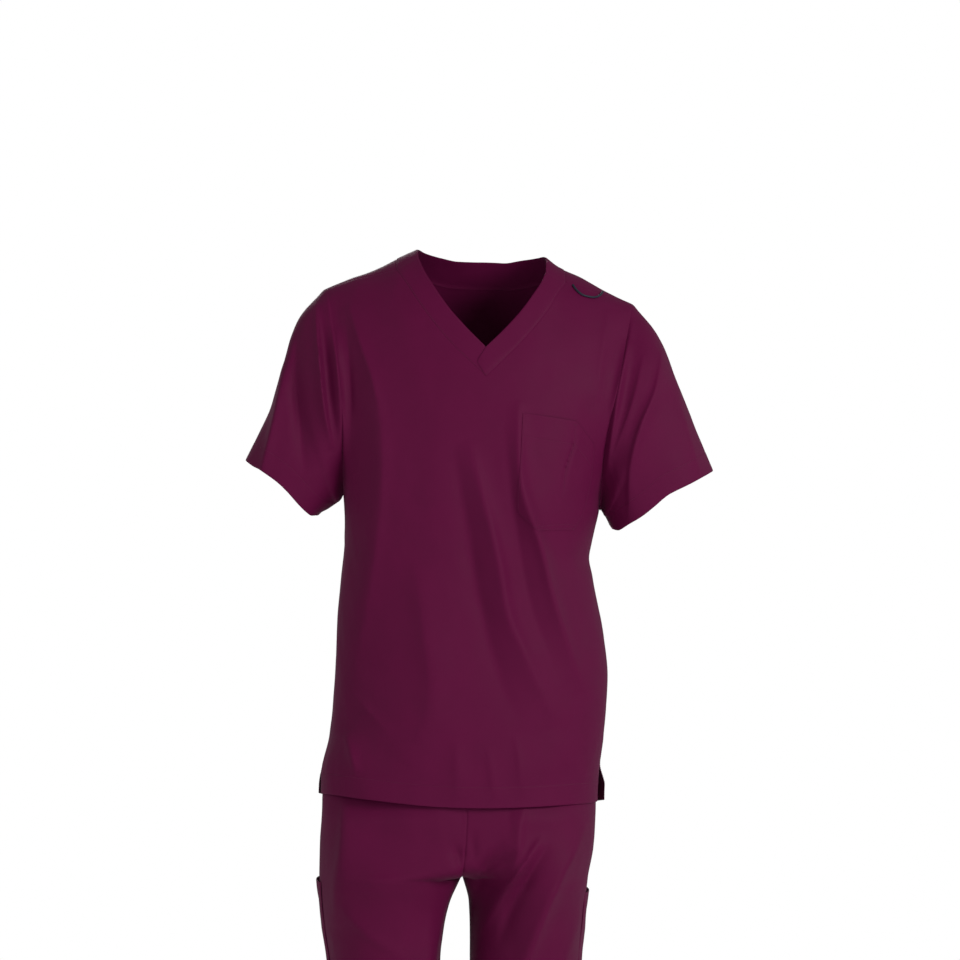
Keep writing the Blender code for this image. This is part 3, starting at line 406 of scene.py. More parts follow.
# legs and hips
legCut = {"hem": -1.575, "crotch": -0.7806, "crotchDepth": 0.010, "waist": -0.510, "shift": 0.5}
legTable = smoothTable(
    "height rightOuter rightInner leftOuter leftInner front back middle",
    (-1.575, -0.1750, -0.0540, 0.1240, 0.0030, 0.066, 0.070, 0.020),
    (-1.450, -0.1720, -0.0570, 0.1210, 0.0000, 0.066, 0.073, 0.016),
    (-1.300, -0.1720, -0.0580, 0.1200, -0.0020, 0.070, 0.079, 0.010),
    (-1.130, -0.1760, -0.0560, 0.1220, -0.0050, 0.077, 0.079, 0.004),
    (-1.000, -0.1810, -0.0540, 0.1240, -0.0100, 0.089, 0.091, 0.006),
    (-0.885, -0.1900, -0.0500, 0.1260, -0.0125, 0.101, 0.103, 0.009),
    (-0.845, -0.1965, -0.0450, 0.1292, -0.0130, 0.107, 0.108, 0.010),
    (-0.815, -0.1995, -0.0375, 0.1315, -0.0140, 0.111, 0.112, 0.010),
    (-0.7806, -0.2015, -0.0225, 0.1355, -0.0225, 0.116, 0.116, 0.010),
)
hipTable = smoothTable(
    "height right left centre front back",
    (-0.7806, -0.2015, 0.1355, -0.0225, 0.117, 0.118),
    (-0.740, -0.2000, 0.1425, -0.0180, 0.117, 0.118),
    (-0.700, -0.1972, 0.1440, -0.0160, 0.116, 0.115),
    (-0.680, -0.1966, 0.1442, -0.0160, 0.114, 0.112),
    (-0.620, -0.1845, 0.1460, -0.0150, 0.109, 0.101),
    (-0.560, -0.1700, 0.1440, -0.0135, 0.104, 0.090),
    (-0.510, -0.1600, 0.1380, -0.0110, 0.100, 0.084),
    (-0.470, -0.1570, 0.1350, -0.0110, 0.100, 0.084),
)
seatTable = smoothTable(
    "up share height",
    (0.00, 0.00, -0.7806), (0.12, 0.40, -0.7770), (0.25, 0.74, -0.7620), (0.38, 0.93, -0.7330),
    (0.52, 1.00, -0.6900), (1.00, 1.00, -0.5100),
)
halfName = {right: "right", left: "left"}


def legGrid(half, side, heights, ups, angle):
    # rows from the hem to the waist, columns from the outseam to the inner edge
    name = halfName[half]
    share = (1 - np.cos(angle)) / 2
    rows = []
    for height in heights:
        outer, inner = (readTable(legTable, name + end, height) for end in ("Outer", "Inner"))
        x = blend(outer, inner, share)
        depth = readTable(legTable, sideName[side], height)
        y = readTable(legTable, "middle", height) + side * depth * np.sin(angle)
        rows.append(np.stack([x, y, np.full_like(x, height)], axis=-1))
    for up in ups:
        outerZ, innerZ = blend(legCut["crotch"], legCut["waist"], up), readTable(seatTable, "height", up)
        outer, inner = readTable(hipTable, name, outerZ), readTable(hipTable, "centre", innerZ)
        middle = legCut["crotchDepth"] * (1 - smoothStep(up / legCut["shift"]))
        hip = readTable(seatTable, "share", up)
        z = blend(outerZ, innerZ, share)
        x = blend(outer, inner, blend(share, 1 - np.cos(angle / 2), hip))
        bulge = blend(np.sin(angle), np.sin(angle / 2), hip)
        y = middle * (1 - hip) + side * readTable(hipTable, sideName[side], z) * bulge / bulge.max()
        rows.append(np.stack([x, y, z], axis=-1))
    return np.array(rows)


# surfaces: normals, distances from the edges, and one normal where two pieces are sewn together
def gridNormals(grid, closed, outward):
    ring = np.concatenate([grid, grid[:1]]) if closed else grid
    facing = np.cross(ring[1:, 1:] - ring[:-1, :-1], ring[:-1, 1:] - ring[1:, :-1])
    normals = np.zeros(ring.shape)
    for rows in (slice(None, -1), slice(1, None)):
        for columns in (slice(None, -1), slice(1, None)):
            normals[rows, columns] += facing
    if closed:
        normals[0] += normals[-1]
        normals = normals[:-1]
    normals = unit(normals)
    return normals if np.sum(normals * outward) > 0 else -normals


edgeSlices = {"firstRow": (0, slice(None)), "lastRow": (-1, slice(None)),
              "firstColumn": (slice(None), 0), "lastColumn": (slice(None), -1)}


def makeCut(name, grid, outward, kinds, closed=False):
    # kinds: what the first row, last row, first column and last column are
    rows, columns = runAlong(grid), runAlong(grid, 1)
    away = dict(zip(edgeSlices, (rows, rows[-1:] - rows, columns, columns[:, -1:] - columns)))
    edges = {edge: kind for edge, kind in zip(edgeSlices, kinds) if kind}
    outward = np.array(outward)
    return {"name": name, "grid": grid, "closed": closed, "edges": edges, "away": away,
            "normals": gridNormals(grid, closed, outward), "outward": outward}


def shareNormals(cuts, reach=0.014):
    # sewn pieces get the same normals along their seam, blended into their own
    shared = {}
    edges = [(cut, edge, edgeSlices[edge]) for cut in cuts for edge in cut["edges"]]
    keysAt = [[tuple(key) for key in np.round(cut["grid"][where] * 1e5).astype(np.int64)]
              for cut, edge, where in edges]
    for (cut, edge, where), keys in zip(edges, keysAt):
        for key, normal in zip(keys, cut["normals"][where]):
            shared.setdefault(key, {})[cut["name"]] = normal
    for (cut, edge, where), keys in zip(edges, keysAt):
        wanted = unit(np.array([sum(shared[key].values()) for key in keys]))
        change = wanted - cut["normals"][where]
        change = change[None] if "Row" in edge else change[:, None]
        fade = 1 - smoothStep(cut["away"][edge] / reach)
        cut["normals"] = unit(cut["normals"] + change * fade[..., None])


# folds: routes as they are seen square from the front or the back
foldShape = {
    "turnedFrom": 0.04, "turnedBy": 0.30, "startWidth": 0.8, "gain": 0.4, "reach": 3.4,
    "steepness": 1.5, "crest": 0.05, "crestDrop": 0.224, "flankEnd": 2.8, "flankFade": 1.4, "endFade": 0.8,
}


def seenFrom(points, side):
    centre = np.array([0, cameraView["height"]])
    scale = cameraView["distance"] / (cameraView["distance"] - side * points[..., 1])
    return centre + (points[..., [0, 2]] - centre) * scale[..., None]


def smoothRoute(route, perStep=5):
    route = np.array(route, dtype=float) / 1000
    run = runAlong(route)
    return np.array([through(run, route, at) for at in np.linspace(0, run[-1], perStep * (len(run) - 1) + 1)])


def nearRoute(spots, path):
    # distance to a route, the side of it, and the share of the way along it
    run = runAlong(path)
    best, along, turned = np.full(len(spots), np.inf), np.zeros(len(spots)), np.zeros(len(spots))
    for start, end, passed in zip(path[:-1], path[1:], run):
        length = np.linalg.norm(end - start)
        step = (end - start) / length
        offset = spots - start
        share = np.clip(offset @ step, 0, length)
        away = np.linalg.norm(offset - share[:, None] * step, axis=-1)
        nearer = away < best
        best = np.where(nearer, away, best)
        along = np.where(nearer, (passed + share) / run[-1], along)
        turned = np.where(nearer, step[0] * offset[:, 1] - step[1] * offset[:, 0], turned)
    return best, turned, along


def foldShift(points, normals, folds):
    # how far the folds move the cloth along Y; each fold: depth and half widths in millimetres
    # (the -x flank of a route that runs down, then the +x flank), then the route's points
    total, shape = np.zeros(points.shape[:-1]), foldShape
    for side in (front, back):
        seen = seenFrom(points, side)
        facing = smoothStep((side * normals[..., 1] + shape["turnedFrom"]) / shape["turnedBy"])
        for depth, lowWidth, highWidth, *route in folds.get(side, ()):
            path = smoothRoute(route)
            reach = shape["reach"] / 1000 * max(lowWidth, highWidth)
            inside = np.all((seen > path.min(axis=0) - reach) & (seen < path.max(axis=0) + reach), axis=-1)
            inside &= facing > 0
            away, turned, along = nearRoute(seen[inside], path)
            width = np.where(turned > 0, highWidth, lowWidth) / 1000
            reached = away / width / (shape["startWidth"] + shape["gain"] * along)
            rounded = np.sqrt(reached ** 2 + shape["crest"]) - shape["crestDrop"]
            flank = smoothStep((shape["flankEnd"] - reached) / shape["flankFade"])
            flank = flank * np.exp(-shape["steepness"] * rounded)
            fade = np.sin(np.pi * along) ** shape["endFade"]
            total[inside] += side * depth / 1000 * fade * flank * facing[inside]
    return total


waveShape = {"each": 4, "upright": 0.7, "swing": 0.35, "bend": 2.6}


def softWaves(points, seed, waves):
    # low waves of the cloth: each is an amplitude and a length in millimetres
    drawn = np.random.RandomState(seed)
    total = np.zeros(points.shape[:-1])
    for amplitude, length in np.array(waves) / 1000:
        for _ in range(waveShape["each"]):
            lean = unit(drawn.normal(size=3) * (1, 1, waveShape["upright"]))
            bend = unit(drawn.normal(size=3)) * waveShape["bend"] / length
            phase, second = drawn.uniform(0, 2 * np.pi, 2)
            path = points @ lean + waveShape["swing"] * length * np.sin(points @ bend + second)
            total += amplitude / waveShape["each"] * np.sin(path * 2 * np.pi / length + phase)
    return total


# what the cloth does at its edges: offset along the normal and share of the full thickness
edgeShape = {
    "seamDepth": 0.00022, "seamWidth": 0.0012, "seamRidge": 0.00004, "ridgeAt": 0.004, "ridgeWidth": 0.0016,
    "hemWidth": 0.025, "ventWidth": 0.012, "hemLift": 0.00022, "hemStep": 0.0007,
    "hemGroove": 0.00018, "grooveWidth": 0.0011, "ventFade": 0.002,
    "roundReach": 0.0016, "roundStart": 0.1, "roundShare": 0.25,
}


def roundedEdge(away, thin):
    # share of the thickness that a free edge keeps
    return blend(thin, 1, smoothStep(away / edgeShape["roundReach"] + edgeShape["roundStart"]))


def edgeOffset(cut, seamDepth):
    shape = edgeShape
    offset, share = np.zeros(cut["grid"].shape[:2]), np.ones(cut["grid"].shape[:2])
    for edge, kind in cut["edges"].items():
        away = cut["away"][edge]
        sewn = float(kind == "sewn")
        if kind == "vent":
            over = cut["grid"][..., 2] - topCut["vent"] + shape["ventFade"]
            sewn = smoothStep(over / shape["ventFade"] / 3)
        roll = shape["seamRidge"] * np.exp(-((away - shape["ridgeAt"]) / shape["ridgeWidth"]) ** 2)
        offset += (roll - seamDepth * np.exp(-(away / shape["seamWidth"]) ** 2)) * sewn
        share = np.minimum(share, blend(roundedEdge(away, shape["roundShare"]), 1, sewn))
        if kind in ("hem", "vent"):
            past = away - shape[kind + "Width"]
            band = shape["hemLift"] * (1 - smoothStep(past / shape["hemStep"] / 2 + 0.5))
            groove = shape["hemGroove"] * np.exp(-(past / shape["grooveWidth"]) ** 2)
            offset += (band - groove) * (1 - sewn)
    return offset, share


def pressCuts(cuts, folds, look):
    for cut in cuts:
        grid, normals = cut["grid"], cut["normals"]
        offset, cut["share"] = edgeOffset(cut, look.get("seamDepth", edgeShape["seamDepth"]))
        offset += softWaves(grid, look["seed"], look["waves"]) + cut.get("lift", 0)
        cut["outer"] = grid + normals * offset[..., None]
        cut["outer"][..., 1] += foldShift(grid, normals, folds)
        cut["skin"] = gridNormals(cut["outer"], cut["closed"], cut["outward"])
        cut["normals"] = unit(normals + cut["skin"])
        cut["thickness"] = look["thickness"]


def wallMesh(cut):
    # a closed wall: outer skin, inner skin and the rims between them, with the cut's own UVs
    share, thickness, grid = cut["share"][..., None], cut["thickness"], cut["outer"]
    sink = cut["normals"] * thickness
    outer, inner = grid - sink * (1 - share) / 2, grid - sink * (1 + share) / 2
    rows, columns = grid.shape[:2]
    number = np.arange(rows * columns).reshape(rows, columns)
    if cut["closed"]:
        number = np.vstack([number, number[:1]])
    quads = np.stack([number[:-1, :-1], number[1:, :-1], number[1:, 1:], number[:-1, 1:]], -1).reshape(-1, 4)
    flat = outer.reshape(-1, 3)
    across, along = flat[quads[:, 2]] - flat[quads[:, 0]], flat[quads[:, 3]] - flat[quads[:, 1]]
    if np.sum(np.cross(across, along) * cut["normals"].reshape(-1, 3)[quads[:, 0]]) < 0:
        quads = quads[:, ::-1]
    count = rows * columns
    borders = [number[:, 0], number[:, -1]]
    if not cut["closed"]:
        borders += [number[0], number[-1]]
    wanted = {(int(a), int(b)) for line in borders for a, b in zip(line[:-1], line[1:])}
    wanted |= {(b, a) for a, b in wanted}
    rims = []
    for quad in quads.tolist():
        for a, b in zip(quad, quad[1:] + quad[:1]):
            if (a, b) in wanted:
                rims.append((b, a, a + count, b + count))
    faces = quads.tolist() + (quads[:, ::-1] + count).tolist() + rims
    u = runAlong(cut["grid"], 1)
    u = u - u[:, [columns // 2]]
    v = runAlong(cut["grid"], 0)
    places = np.stack([u, v], -1).reshape(-1, 2)
    places = np.vstack([places, places])[np.array(faces)]
    if cut["closed"]:
        girth = v[-1].max()
        wrapped = np.ptp(places[..., 1], axis=1) > girth / 2
        low = wrapped[:, None] & (places[..., 1] < girth / 2)
        places[low, 1] += girth
    return np.vstack([flat, inner.reshape(-1, 3)]), faces, places


def addMesh(name, points, faces, material, places=None):
    mesh = bpy.data.meshes.new(name)
    mesh.from_pydata(points.tolist(), [], faces)
    if places is not None:
        layer = mesh.uv_layers.new(name="cut")
        layer.uv.foreach_set("vector", places.astype(np.float32).ravel())
    mesh.shade_smooth()
    mesh.set_sharp_from_angle(angle=math.radians(60))
    mesh.materials.append(material)
    thing = bpy.data.objects.new(name, mesh)
    bpy.context.collection.objects.link(thing)
    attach(thing, "root")
    return thing


def nodeOf(name):
    # topFront stands for the frame's top_front
    return "".join("_" + letter.lower() if letter.isupper() else letter for letter in name)


def addCloth(cut, node=None):
    points, faces, places = wallMesh(cut)
    piece = addMesh(cut["name"], points, faces, scrubCloth, places)
    grid = cut["grid"]
    width, length = float(runAlong(grid, 1)[:, -1].max()), float(runAlong(grid)[-1].max())
    if cut["closed"]:
        length += float(np.linalg.norm(grid[0] - grid[-1], axis=-1).max())
        grid = np.concatenate([grid, grid[:1]])
    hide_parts(node or nodeOf(cut["name"]))


# stitches: small rounded threads that dip into the cloth at both ends
stitchShape = {"pitch": 0.0027, "length": 0.0021, "radius": 0.00026, "sides": 5,
               "rings": ((-0.5, 0.0, -0.00025), (-0.36, 0.8, -0.00002), (0.0, 1.0, 0.00008),
                         (0.36, 0.8, -0.00002), (0.5, 0.0, -0.00025))}


def lineAt(cut, edge, distance, last=1.0):
    # the line on a cut's skin that runs at one distance from an edge
    away, surfaces = cut["away"][edge], [cut["outer"], cut["skin"]]
    if "Row" in edge:
        away, surfaces = away.T, [values.swapaxes(0, 1) for values in surfaces]
    if "last" in edge:
        away, surfaces = away[:, ::-1], [values[:, ::-1] for values in surfaces]
    count = int(last * (len(away) - 1)) + 1
    spots, normals = (np.array([pointsAt(distance, *line) for line in zip(away[:count], values)])
                      for values in surfaces)
    if cut["closed"] and "Column" in edge:
        spots, normals = np.vstack([spots, spots[:1]]), np.vstack([normals, normals[:1]])
    return spots, unit(normals)


def addStitches(name, lines):
    pitch, sides = stitchShape["pitch"], stitchShape["sides"]
    centres, directions, uprights = [], [], []
    for spots, normals in lines:
        run = runAlong(spots)
        count = int(run[-1] / pitch)
        at = (np.arange(count) + 0.5) * run[-1] / count
        behind, ahead = (pointsAt(at + step, run, spots) for step in (-pitch / 4, pitch / 4))
        centres.append(pointsAt(at, run, spots))
        directions.append(unit(ahead - behind))
        uprights.append(unit(pointsAt(at, run, normals)))
    centre, along, up = np.vstack(centres), np.vstack(directions), np.vstack(uprights)
    side = unit(np.cross(along, up))
    turns = np.arange(sides) * 2 * np.pi / sides
    points = []
    for place, width, lift in stitchShape["rings"]:
        middle = centre + along * place * stitchShape["length"] + up * lift
        radius = width * stitchShape["radius"]
        for turn in turns if width else turns[:1]:
            points.append(middle + radius * (side * np.cos(turn) + up * np.sin(turn)))
    points = np.stack(points, axis=1)
    each, faces = points.shape[1], []
    for i in range(sides):
        j = (i + 1) % sides
        faces += [(0, 1 + i, 1 + j), (1 + 2 * sides + j, 1 + 2 * sides + i, each - 1)]
        for low in (1, 1 + sides):
            faces.append((low + j, low + i, low + sides + i, low + sides + j))
    every = [tuple(corner + each * index for corner in face)
             for index in range(len(centre)) for face in faces]
    addMesh(name, points.reshape(-1, 3), every, scrubThread)
    print(f"{name}: {len(centre)} stitches")


# materials
# worn is a lighter cloth colour, a painted highlight laid where the weave and the crumples stand up
clothLook = {
    "base": (0.092, 0.0010, 0.0335), "worn": (0.106, 0.0018, 0.039), "weaveShade": 0.35,
    "roughness": (0.60, 0.72), "specular": 0.12, "sheen": 0.04, "sheenRoughness": 0.45,
    "sheenTint": (1.0, 0.55, 0.8), "twillScale": 1150, "twillBend": 0.4, "ribScale": 620,
    "weaveBump": 0.12, "weaveDepth": 0.0002, "crumple": 26, "crumpleBump": 0.10, "crumpleDepth": 0.002,
}
threadLook = {"base": (0.098, 0.0014, 0.036), "light": (0.118, 0.0024, 0.044), "roughness": 0.6,
              "scale": 900, "specular": 0.3, "bump": 0.3, "depth": 0.0002}
cordLook = {**threadLook, "base": (0.008, 0.009, 0.020), "light": (0.020, 0.021, 0.040),
            "roughness": 0.55, "scale": 1400}


def setInputs(tree, node, inputs):
    # what goes into each socket: a value, or what another node gives
    for socket, value in inputs.items():
        if isinstance(value, bpy.types.NodeSocket):
            tree.links.new(value, node.inputs[socket])
        else:
            node.inputs[socket].default_value = value


def addNode(tree, kind, gives, inputs, **settings):
    node = tree.nodes.new("ShaderNode" + kind)
    for setting, value in settings.items():
        setattr(node, setting, value)
    setInputs(tree, node, inputs)
    return node.outputs[gives]


def mixColours(tree, factor, low, high):
    return addNode(tree, "Mix", "Result", {"Factor": factor, "A": (*low, 1), "B": (*high, 1)},
                   data_type="RGBA")


def newMaterial(name):
    material = bpy.data.materials.new(name)
    material.use_nodes = True
    return material, material.node_tree, material.node_tree.nodes["Principled BSDF"]


def makeClothMaterial(name, look):
    material, tree, shader = newMaterial(name)
    onCut = addNode(tree, "UVMap", "UV", {}, uv_map="cut")
    inSpace = addNode(tree, "TexCoord", "Object", {})
    twill = addNode(tree, "TexWave", "Fac", {"Vector": onCut, "Scale": look["twillScale"],
                                             "Distortion": look["twillBend"]}, bands_direction="DIAGONAL")
    rib = addNode(tree, "TexWave", "Fac", {"Vector": onCut, "Scale": look["ribScale"]}, bands_direction="X")
    weave = addNode(tree, "Math", "Value", {0: twill, 1: rib}, operation="MULTIPLY")
    crumple = addNode(tree, "TexNoise", "Fac", {"Vector": inSpace, "Scale": look["crumple"], "Detail": 4})
    # painted highlight: the colour moves from base towards worn where the weave waves and the crumple noise
    # are high, the same heights the bumps below use
    shade = addNode(tree, "Math", "Value", {0: weave, 1: look["weaveShade"], 2: crumple},
                    operation="MULTIPLY_ADD")
    smooth, rough = look["roughness"]
    gloss = addNode(tree, "MapRange", "Result", {"Value": crumple, "To Min": smooth, "To Max": rough})
    soft = addNode(tree, "Bump", "Normal", {"Strength": look["crumpleBump"], "Height": crumple,
                                            "Distance": look["crumpleDepth"]})
    fine = addNode(tree, "Bump", "Normal", {"Strength": look["weaveBump"], "Height": weave,
                                            "Distance": look["weaveDepth"], "Normal": soft})
    setInputs(tree, shader, {
        "Base Color": mixColours(tree, shade, look["base"], look["worn"]), "Roughness": gloss,
        "Normal": fine, "Specular IOR Level": look["specular"], "Sheen Weight": look["sheen"],
        "Sheen Roughness": look["sheenRoughness"], "Sheen Tint": (*look["sheenTint"], 1),
    })
    return material


def makeThreadMaterial(name, look):
    material, tree, shader = newMaterial(name)
    inSpace = addNode(tree, "TexCoord", "Object", {})
    twist = addNode(tree, "TexNoise", "Fac", {"Vector": inSpace, "Scale": look["scale"]})
    bump = addNode(tree, "Bump", "Normal", {"Strength": look["bump"], "Distance": look["depth"],
                                            "Height": twist})
    setInputs(tree, shader, {
        "Base Color": mixColours(tree, twist, look["base"], look["light"]), "Normal": bump,
        "Roughness": look["roughness"], "Specular IOR Level": look["specular"],
    })
    return material


scrubCloth = makeClothMaterial("scrubCloth", clothLook)
scrubThread = makeThreadMaterial("scrubThread", threadLook)
loopCord = makeThreadMaterial("loopCord", cordLook)
print("materials ready")


# the top: front, back, sleeves and neckband, which share the points of their seams
topLook = {"perUnit": 6, "bodyRun": 0.375, "bodyRows": 118, "yokeRows": 100, "yokeEnd": 0.986,
           "yokeSteps": (0.9887, 0.9937, 0.9978, 1), "sideSteps": (0.025, 0.08, 0.16), "sleeveRows": 96,
           "sleeveRings": 121, "thickness": 0.0010, "waves": ((0.9, 95), (0.45, 46), (0.16, 21)), "seed": 4}
topFolds = {front: (
    # long folds that fall from the chest towards the left hip
    (13, 24, 12, (-14, -238), (5, -310), (24, -388), (38, -462), (60, -512), (96, -595)),
    (-9, 20, 20, (-34, -238), (-18, -338), (0, -444), (30, -548), (50, -590)),
    (17, 18, 11, (48, -188), (54, -300), (76, -366), (94, -438), (110, -490), (131, -552)),
    (-4, 12, 14, (30, -212), (44, -338), (62, -438), (100, -540)),
    # edge of the right side and the hollow over the right hip
    (10.5, 40, 20, (-165, -68), (-150, -119), (-136, -159), (-127, -205), (-125, -310), (-135, -394),
     (-150, -475), (-169, -578)),
    (2, 4, 9, (-165, -65), (-150, -117), (-135, -159), (-124, -206)),
    (8.5, 24, 42, (-81, -388), (-70, -470), (-62, -556), (-72, -602), (-99, -642)),
    (2, 7, 6, (-168, -545), (-140, -575), (-110, -608)),
    (9, 8, 12, (-170, -602), (-162, -628), (-155, -658)),
    # soft waves above the hem
    (3.5, 8, 12, (-31, -610), (-29, -644), (-28, -690)),
    (2.5, 5, 8, (9, -620), (14, -652), (19, -692)),
    (3, 6, 10, (44, -605), (49, -640), (54, -688)),
    (-6, 12, 48, (-225, -689), (-90, -694), (0, -698), (75, -698), (172, -691)),
    # right shoulder and right sleeve
    (13, 18, 12, (-179, -94), (-174, -175), (-171, -256), (-171, -312)),
    (10, 13, 6, (-191, -58), (-181, -122), (-174, -178), (-170, -230), (-171, -272)),
    (-2.5, 5, 8, (-169, -75), (-162, -162), (-162, -275)),
    (14.5, 11, 4, (-205, -65), (-200, -138), (-192, -208), (-184, -250)),
    (-14, 11, 20, (-226, -85), (-231, -150), (-226, -218), (-218, -282)),
    (19, 6, 13, (-240, -94), (-250, -170), (-264, -238), (-276, -290)),
    # left shoulder and left sleeve
    (2.5, 7, 9, (161, -72), (152, -135), (145, -192)),
    (15, 13, 12, (185, -112), (170, -195), (151, -308)),
    (4.5, 5, 12, (192, -85), (178, -148), (162, -208)),
    (4.5, 6, 14, (205, -128), (190, -192), (164, -265)),
    (8, 5, 16, (230, -115), (218, -178), (200, -222), (188, -271), (186, -340)),
    (8, 16, 8, (242, -119), (250, -180), (264, -240), (279, -290)),
), back: (
    # the back: drapes from the shoulder blades, a hollow along the spine, creases above the seat
    (-10, 13, 18, (112, -262), (92, -330), (66, -402), (40, -470), (28, -540), (24, -590)),
    (5.5, 12, 14, (132, -300), (112, -372), (88, -440), (66, -512), (58, -566)),
    (-9, 17, 12, (-138, -270), (-116, -342), (-92, -420), (-76, -500), (-70, -574)),
    (5, 12, 10, (-160, -330), (-140, -404), (-118, -476), (-104, -540)),
    (7, 14, 16, (-22, -300), (-24, -382), (-32, -468), (-38, -560), (-36, -640)),
    (-6.5, 20, 16, (-8, -70), (-5, -122), (2, -182), (4, -244), (0, -300)),
    (-5.5, 8, 10, (-168, -524), (-128, -546), (-86, -548)),
    (-4.5, 7, 9, (142, -548), (104, -566), (62, -560)),
    (-3.5, 7, 7, (150, -470), (120, -492), (84, -500)),
    (-5, 8, 8, (-176, -150), (-158, -196), (-134, -236)),
    (4, 8, 8, (-160, -110), (-140, -156), (-112, -196)),
    (-4.5, 8, 7, (172, -160), (152, -210), (130, -246)),
    (3.5, 9, 8, (150, -120), (134, -164), (108, -206)),
    (-10, 8, 9, (-196, -110), (-190, -170), (-186, -240), (-188, -300)),
    (4, 6, 6, (-222, -116), (-218, -188), (-219, -262)),
    (-10, 9, 8, (206, -130), (197, -190), (183, -258), (172, -312)),
    (4, 6, 7, (231, -140), (226, -206), (229, -284)),
)}


def hemShares(run, count):
    # shares of a run from a hem: the fixed distances first, then even ones
    steps = np.array(hemSteps) / run
    return np.concatenate([steps, np.linspace(steps[-1], 1, count + 1)[1:]])


def makeTopCuts(look):
    low = hemShares(look["bodyRun"], look["bodyRows"])
    over = np.concatenate([np.linspace(0, look["yokeEnd"], look["yokeRows"]), look["yokeSteps"]])
    panels, places = {}, {}
    for side in (front, back):
        places[side], total = panelUnits(side, look["perUnit"], look["sideSteps"])
        panels[side] = panelGrid(side, places[side], total, low, over)
    arms = {half: [panels[side][len(low) - 1:, edge] for side in (front, back)]
            for half, edge in ((right, 0), (left, -1))}
    panels[back] = flareVents(panels[back])
    cuts = [makeCut(name, panels[side], (0, side, 0), ("hem", "sewn", "vent", "vent"))
            for name, side in (("topFront", front), ("topBack", back))]
    for half, name in ((right, "sleeveRight"), (left, "sleeveLeft")):
        grid = sleeveGrid(half, *arms[half], over, look)
        cuts.append(makeCut(name, grid, grid - grid.mean(axis=0), (None, None, "sewn", "hem"), closed=True))
    return cuts + makeBandCuts(places, bandLook)


bandLook = {"width": 0.025, "lift": 0.0006, "liftReach": 0.003, "lapLift": 0.0010, "lapRise": 0.2,
            "lapReach": 1.6, "lean": 0.3, "stitch": 0.0018,
            "steps": (0, 0.0007, 0.002, 0.0036, 0.006, 0.009, 0.012, 0.015, 0.018, 0.0205, 0.0225,
                      0.0238, 0.0245, 0.025)}


def makeBandCuts(places, look):
    shoulder, middle = topCut["shoulderUnits"], topCut["neckUnits"][front] // 2
    shares = np.array(look["steps"]) / look["width"]
    cuts = []
    for name, side, half, first, last in (("neckbandRight", front, right, 0, middle),
                                          ("neckbandLeft", front, left, middle, 2 * middle),
                                          ("neckbandBack", back, 0, 0, topCut["neckUnits"][back])):
        units = places[side] - shoulder
        units = units[(units > first - 1e-6) & (units < last + 1e-6)]
        ends = ["free" if half == end else "sewn" for end in (left, right)]
        grid = bandGrid(side, units, half, shares)
        cut = makeCut(name, grid, (0, side * look["lean"], 1), ("sewn", "free", *ends))
        cut["lift"] = look["lift"] * smoothStep(cut["away"]["firstRow"] / look["liftReach"])
        if half == left:
            near = np.clip(look["lapReach"] - np.abs(units - middle), 0, 1)
            lapped = smoothStep(shares / look["lapRise"])[:, None] * smoothStep(near)
            cut["lift"] += look["lapLift"] * lapped
        cuts.append(cut)
    return cuts


topCuts = makeTopCuts(topLook)
shareNormals(topCuts)
pressCuts(topCuts, topFolds, topLook)
cutNamed = {cut["name"]: cut for cut in topCuts}
for cut in topCuts:
    addCloth(cut)
print("top sewn up")


# a patch of cloth laid on finished cuts
def makeSkin(cuts):
    points, faces, count = [cut["outer"].reshape(-1, 3) for cut in cuts], [], 0
    for cut in cuts:
        rows, columns = cut["outer"].shape[:2]
        number = np.arange(rows * columns).reshape(rows, columns) + count
        a, b, c, d = number[:-1, :-1], number[1:, :-1], number[1:, 1:], number[:-1, 1:]
        faces += [np.stack([a, b, c], -1).reshape(-1, 3), np.stack([a, c, d], -1).reshape(-1, 3)]
        count += rows * columns
    points, faces = np.vstack(points), np.vstack(faces)
    tree = BVHTree.FromPolygons([Vector(point) for point in points], faces.tolist())
    return {"tree": tree, "points": points, "faces": faces,
            "normals": np.vstack([cut["skin"].reshape(-1, 3) for cut in cuts])}


def layOn(skin, places):
    # the spots of a skin that are seen at x and z from the front, and its smooth normals there
    spots, normals = [], []
    for x, z in places:
        spot, _, index, _ = skin["tree"].ray_cast(Vector((x, -1, z)), Vector((0, 1, 0)))
        corners = skin["faces"][index]
        origin, *others = skin["points"][corners]
        share = np.linalg.lstsq((np.array(others) - origin).T, np.array(spot) - origin, rcond=None)[0]
        spots.append(spot)
        normals.append(np.array([1 - share.sum(), *share]) @ skin["normals"][corners])
    return np.array(spots), unit(np.array(normals))


patchShape = {
    "steps": (0, 0.0003, 0.0008, 0.0014, 0.0020, 0.0027, 0.0036), "thin": 0.3, "stitch": 0.0020,
    "stitchDepth": 0.00035, "stitchWidth": 0.0006, "hemWidth": 0.0009, "hemRoom": 0.0022,
}


def bothEnds(size, look):
    # places across a patch: fixed distances from both of its edges, even ones between them
    steps = np.array([*patchShape["steps"], look["lastStep"]])
    count = max(int((size - 2 * steps[-1]) / look["pitch"]), 2)
    even = np.linspace(steps[-1], size - steps[-1], count + 1)[1:-1]
    return np.concatenate([steps, even, (size - steps)[::-1]])


def patchLevels(size, look):
    # heights above a patch's lower edge, close together beside the hem line below its mouth
    levels, hemLine = bothEnds(size, look), size - look["hem"]
    levels = levels[np.abs(levels - hemLine) > patchShape["hemRoom"]]
    return np.unique(np.concatenate([levels, hemLine + np.array(look["hemSteps"])]))


def patchLift(up, across, look):
    # puffed out in the middle and gaping along the mouth
    bulge = np.sin(np.pi * across)
    dome = bulge ** look["domePower"] * np.sin(np.pi / 2 * np.clip(up * look["domeRise"], 0, 1)) ** 0.8
    gape = smoothStep((up - look["gapeFrom"]) / (1 - look["gapeFrom"])) * bulge ** look["gapePower"]
    return look["lift"] + look["puff"] * dome + look["gape"] * gape


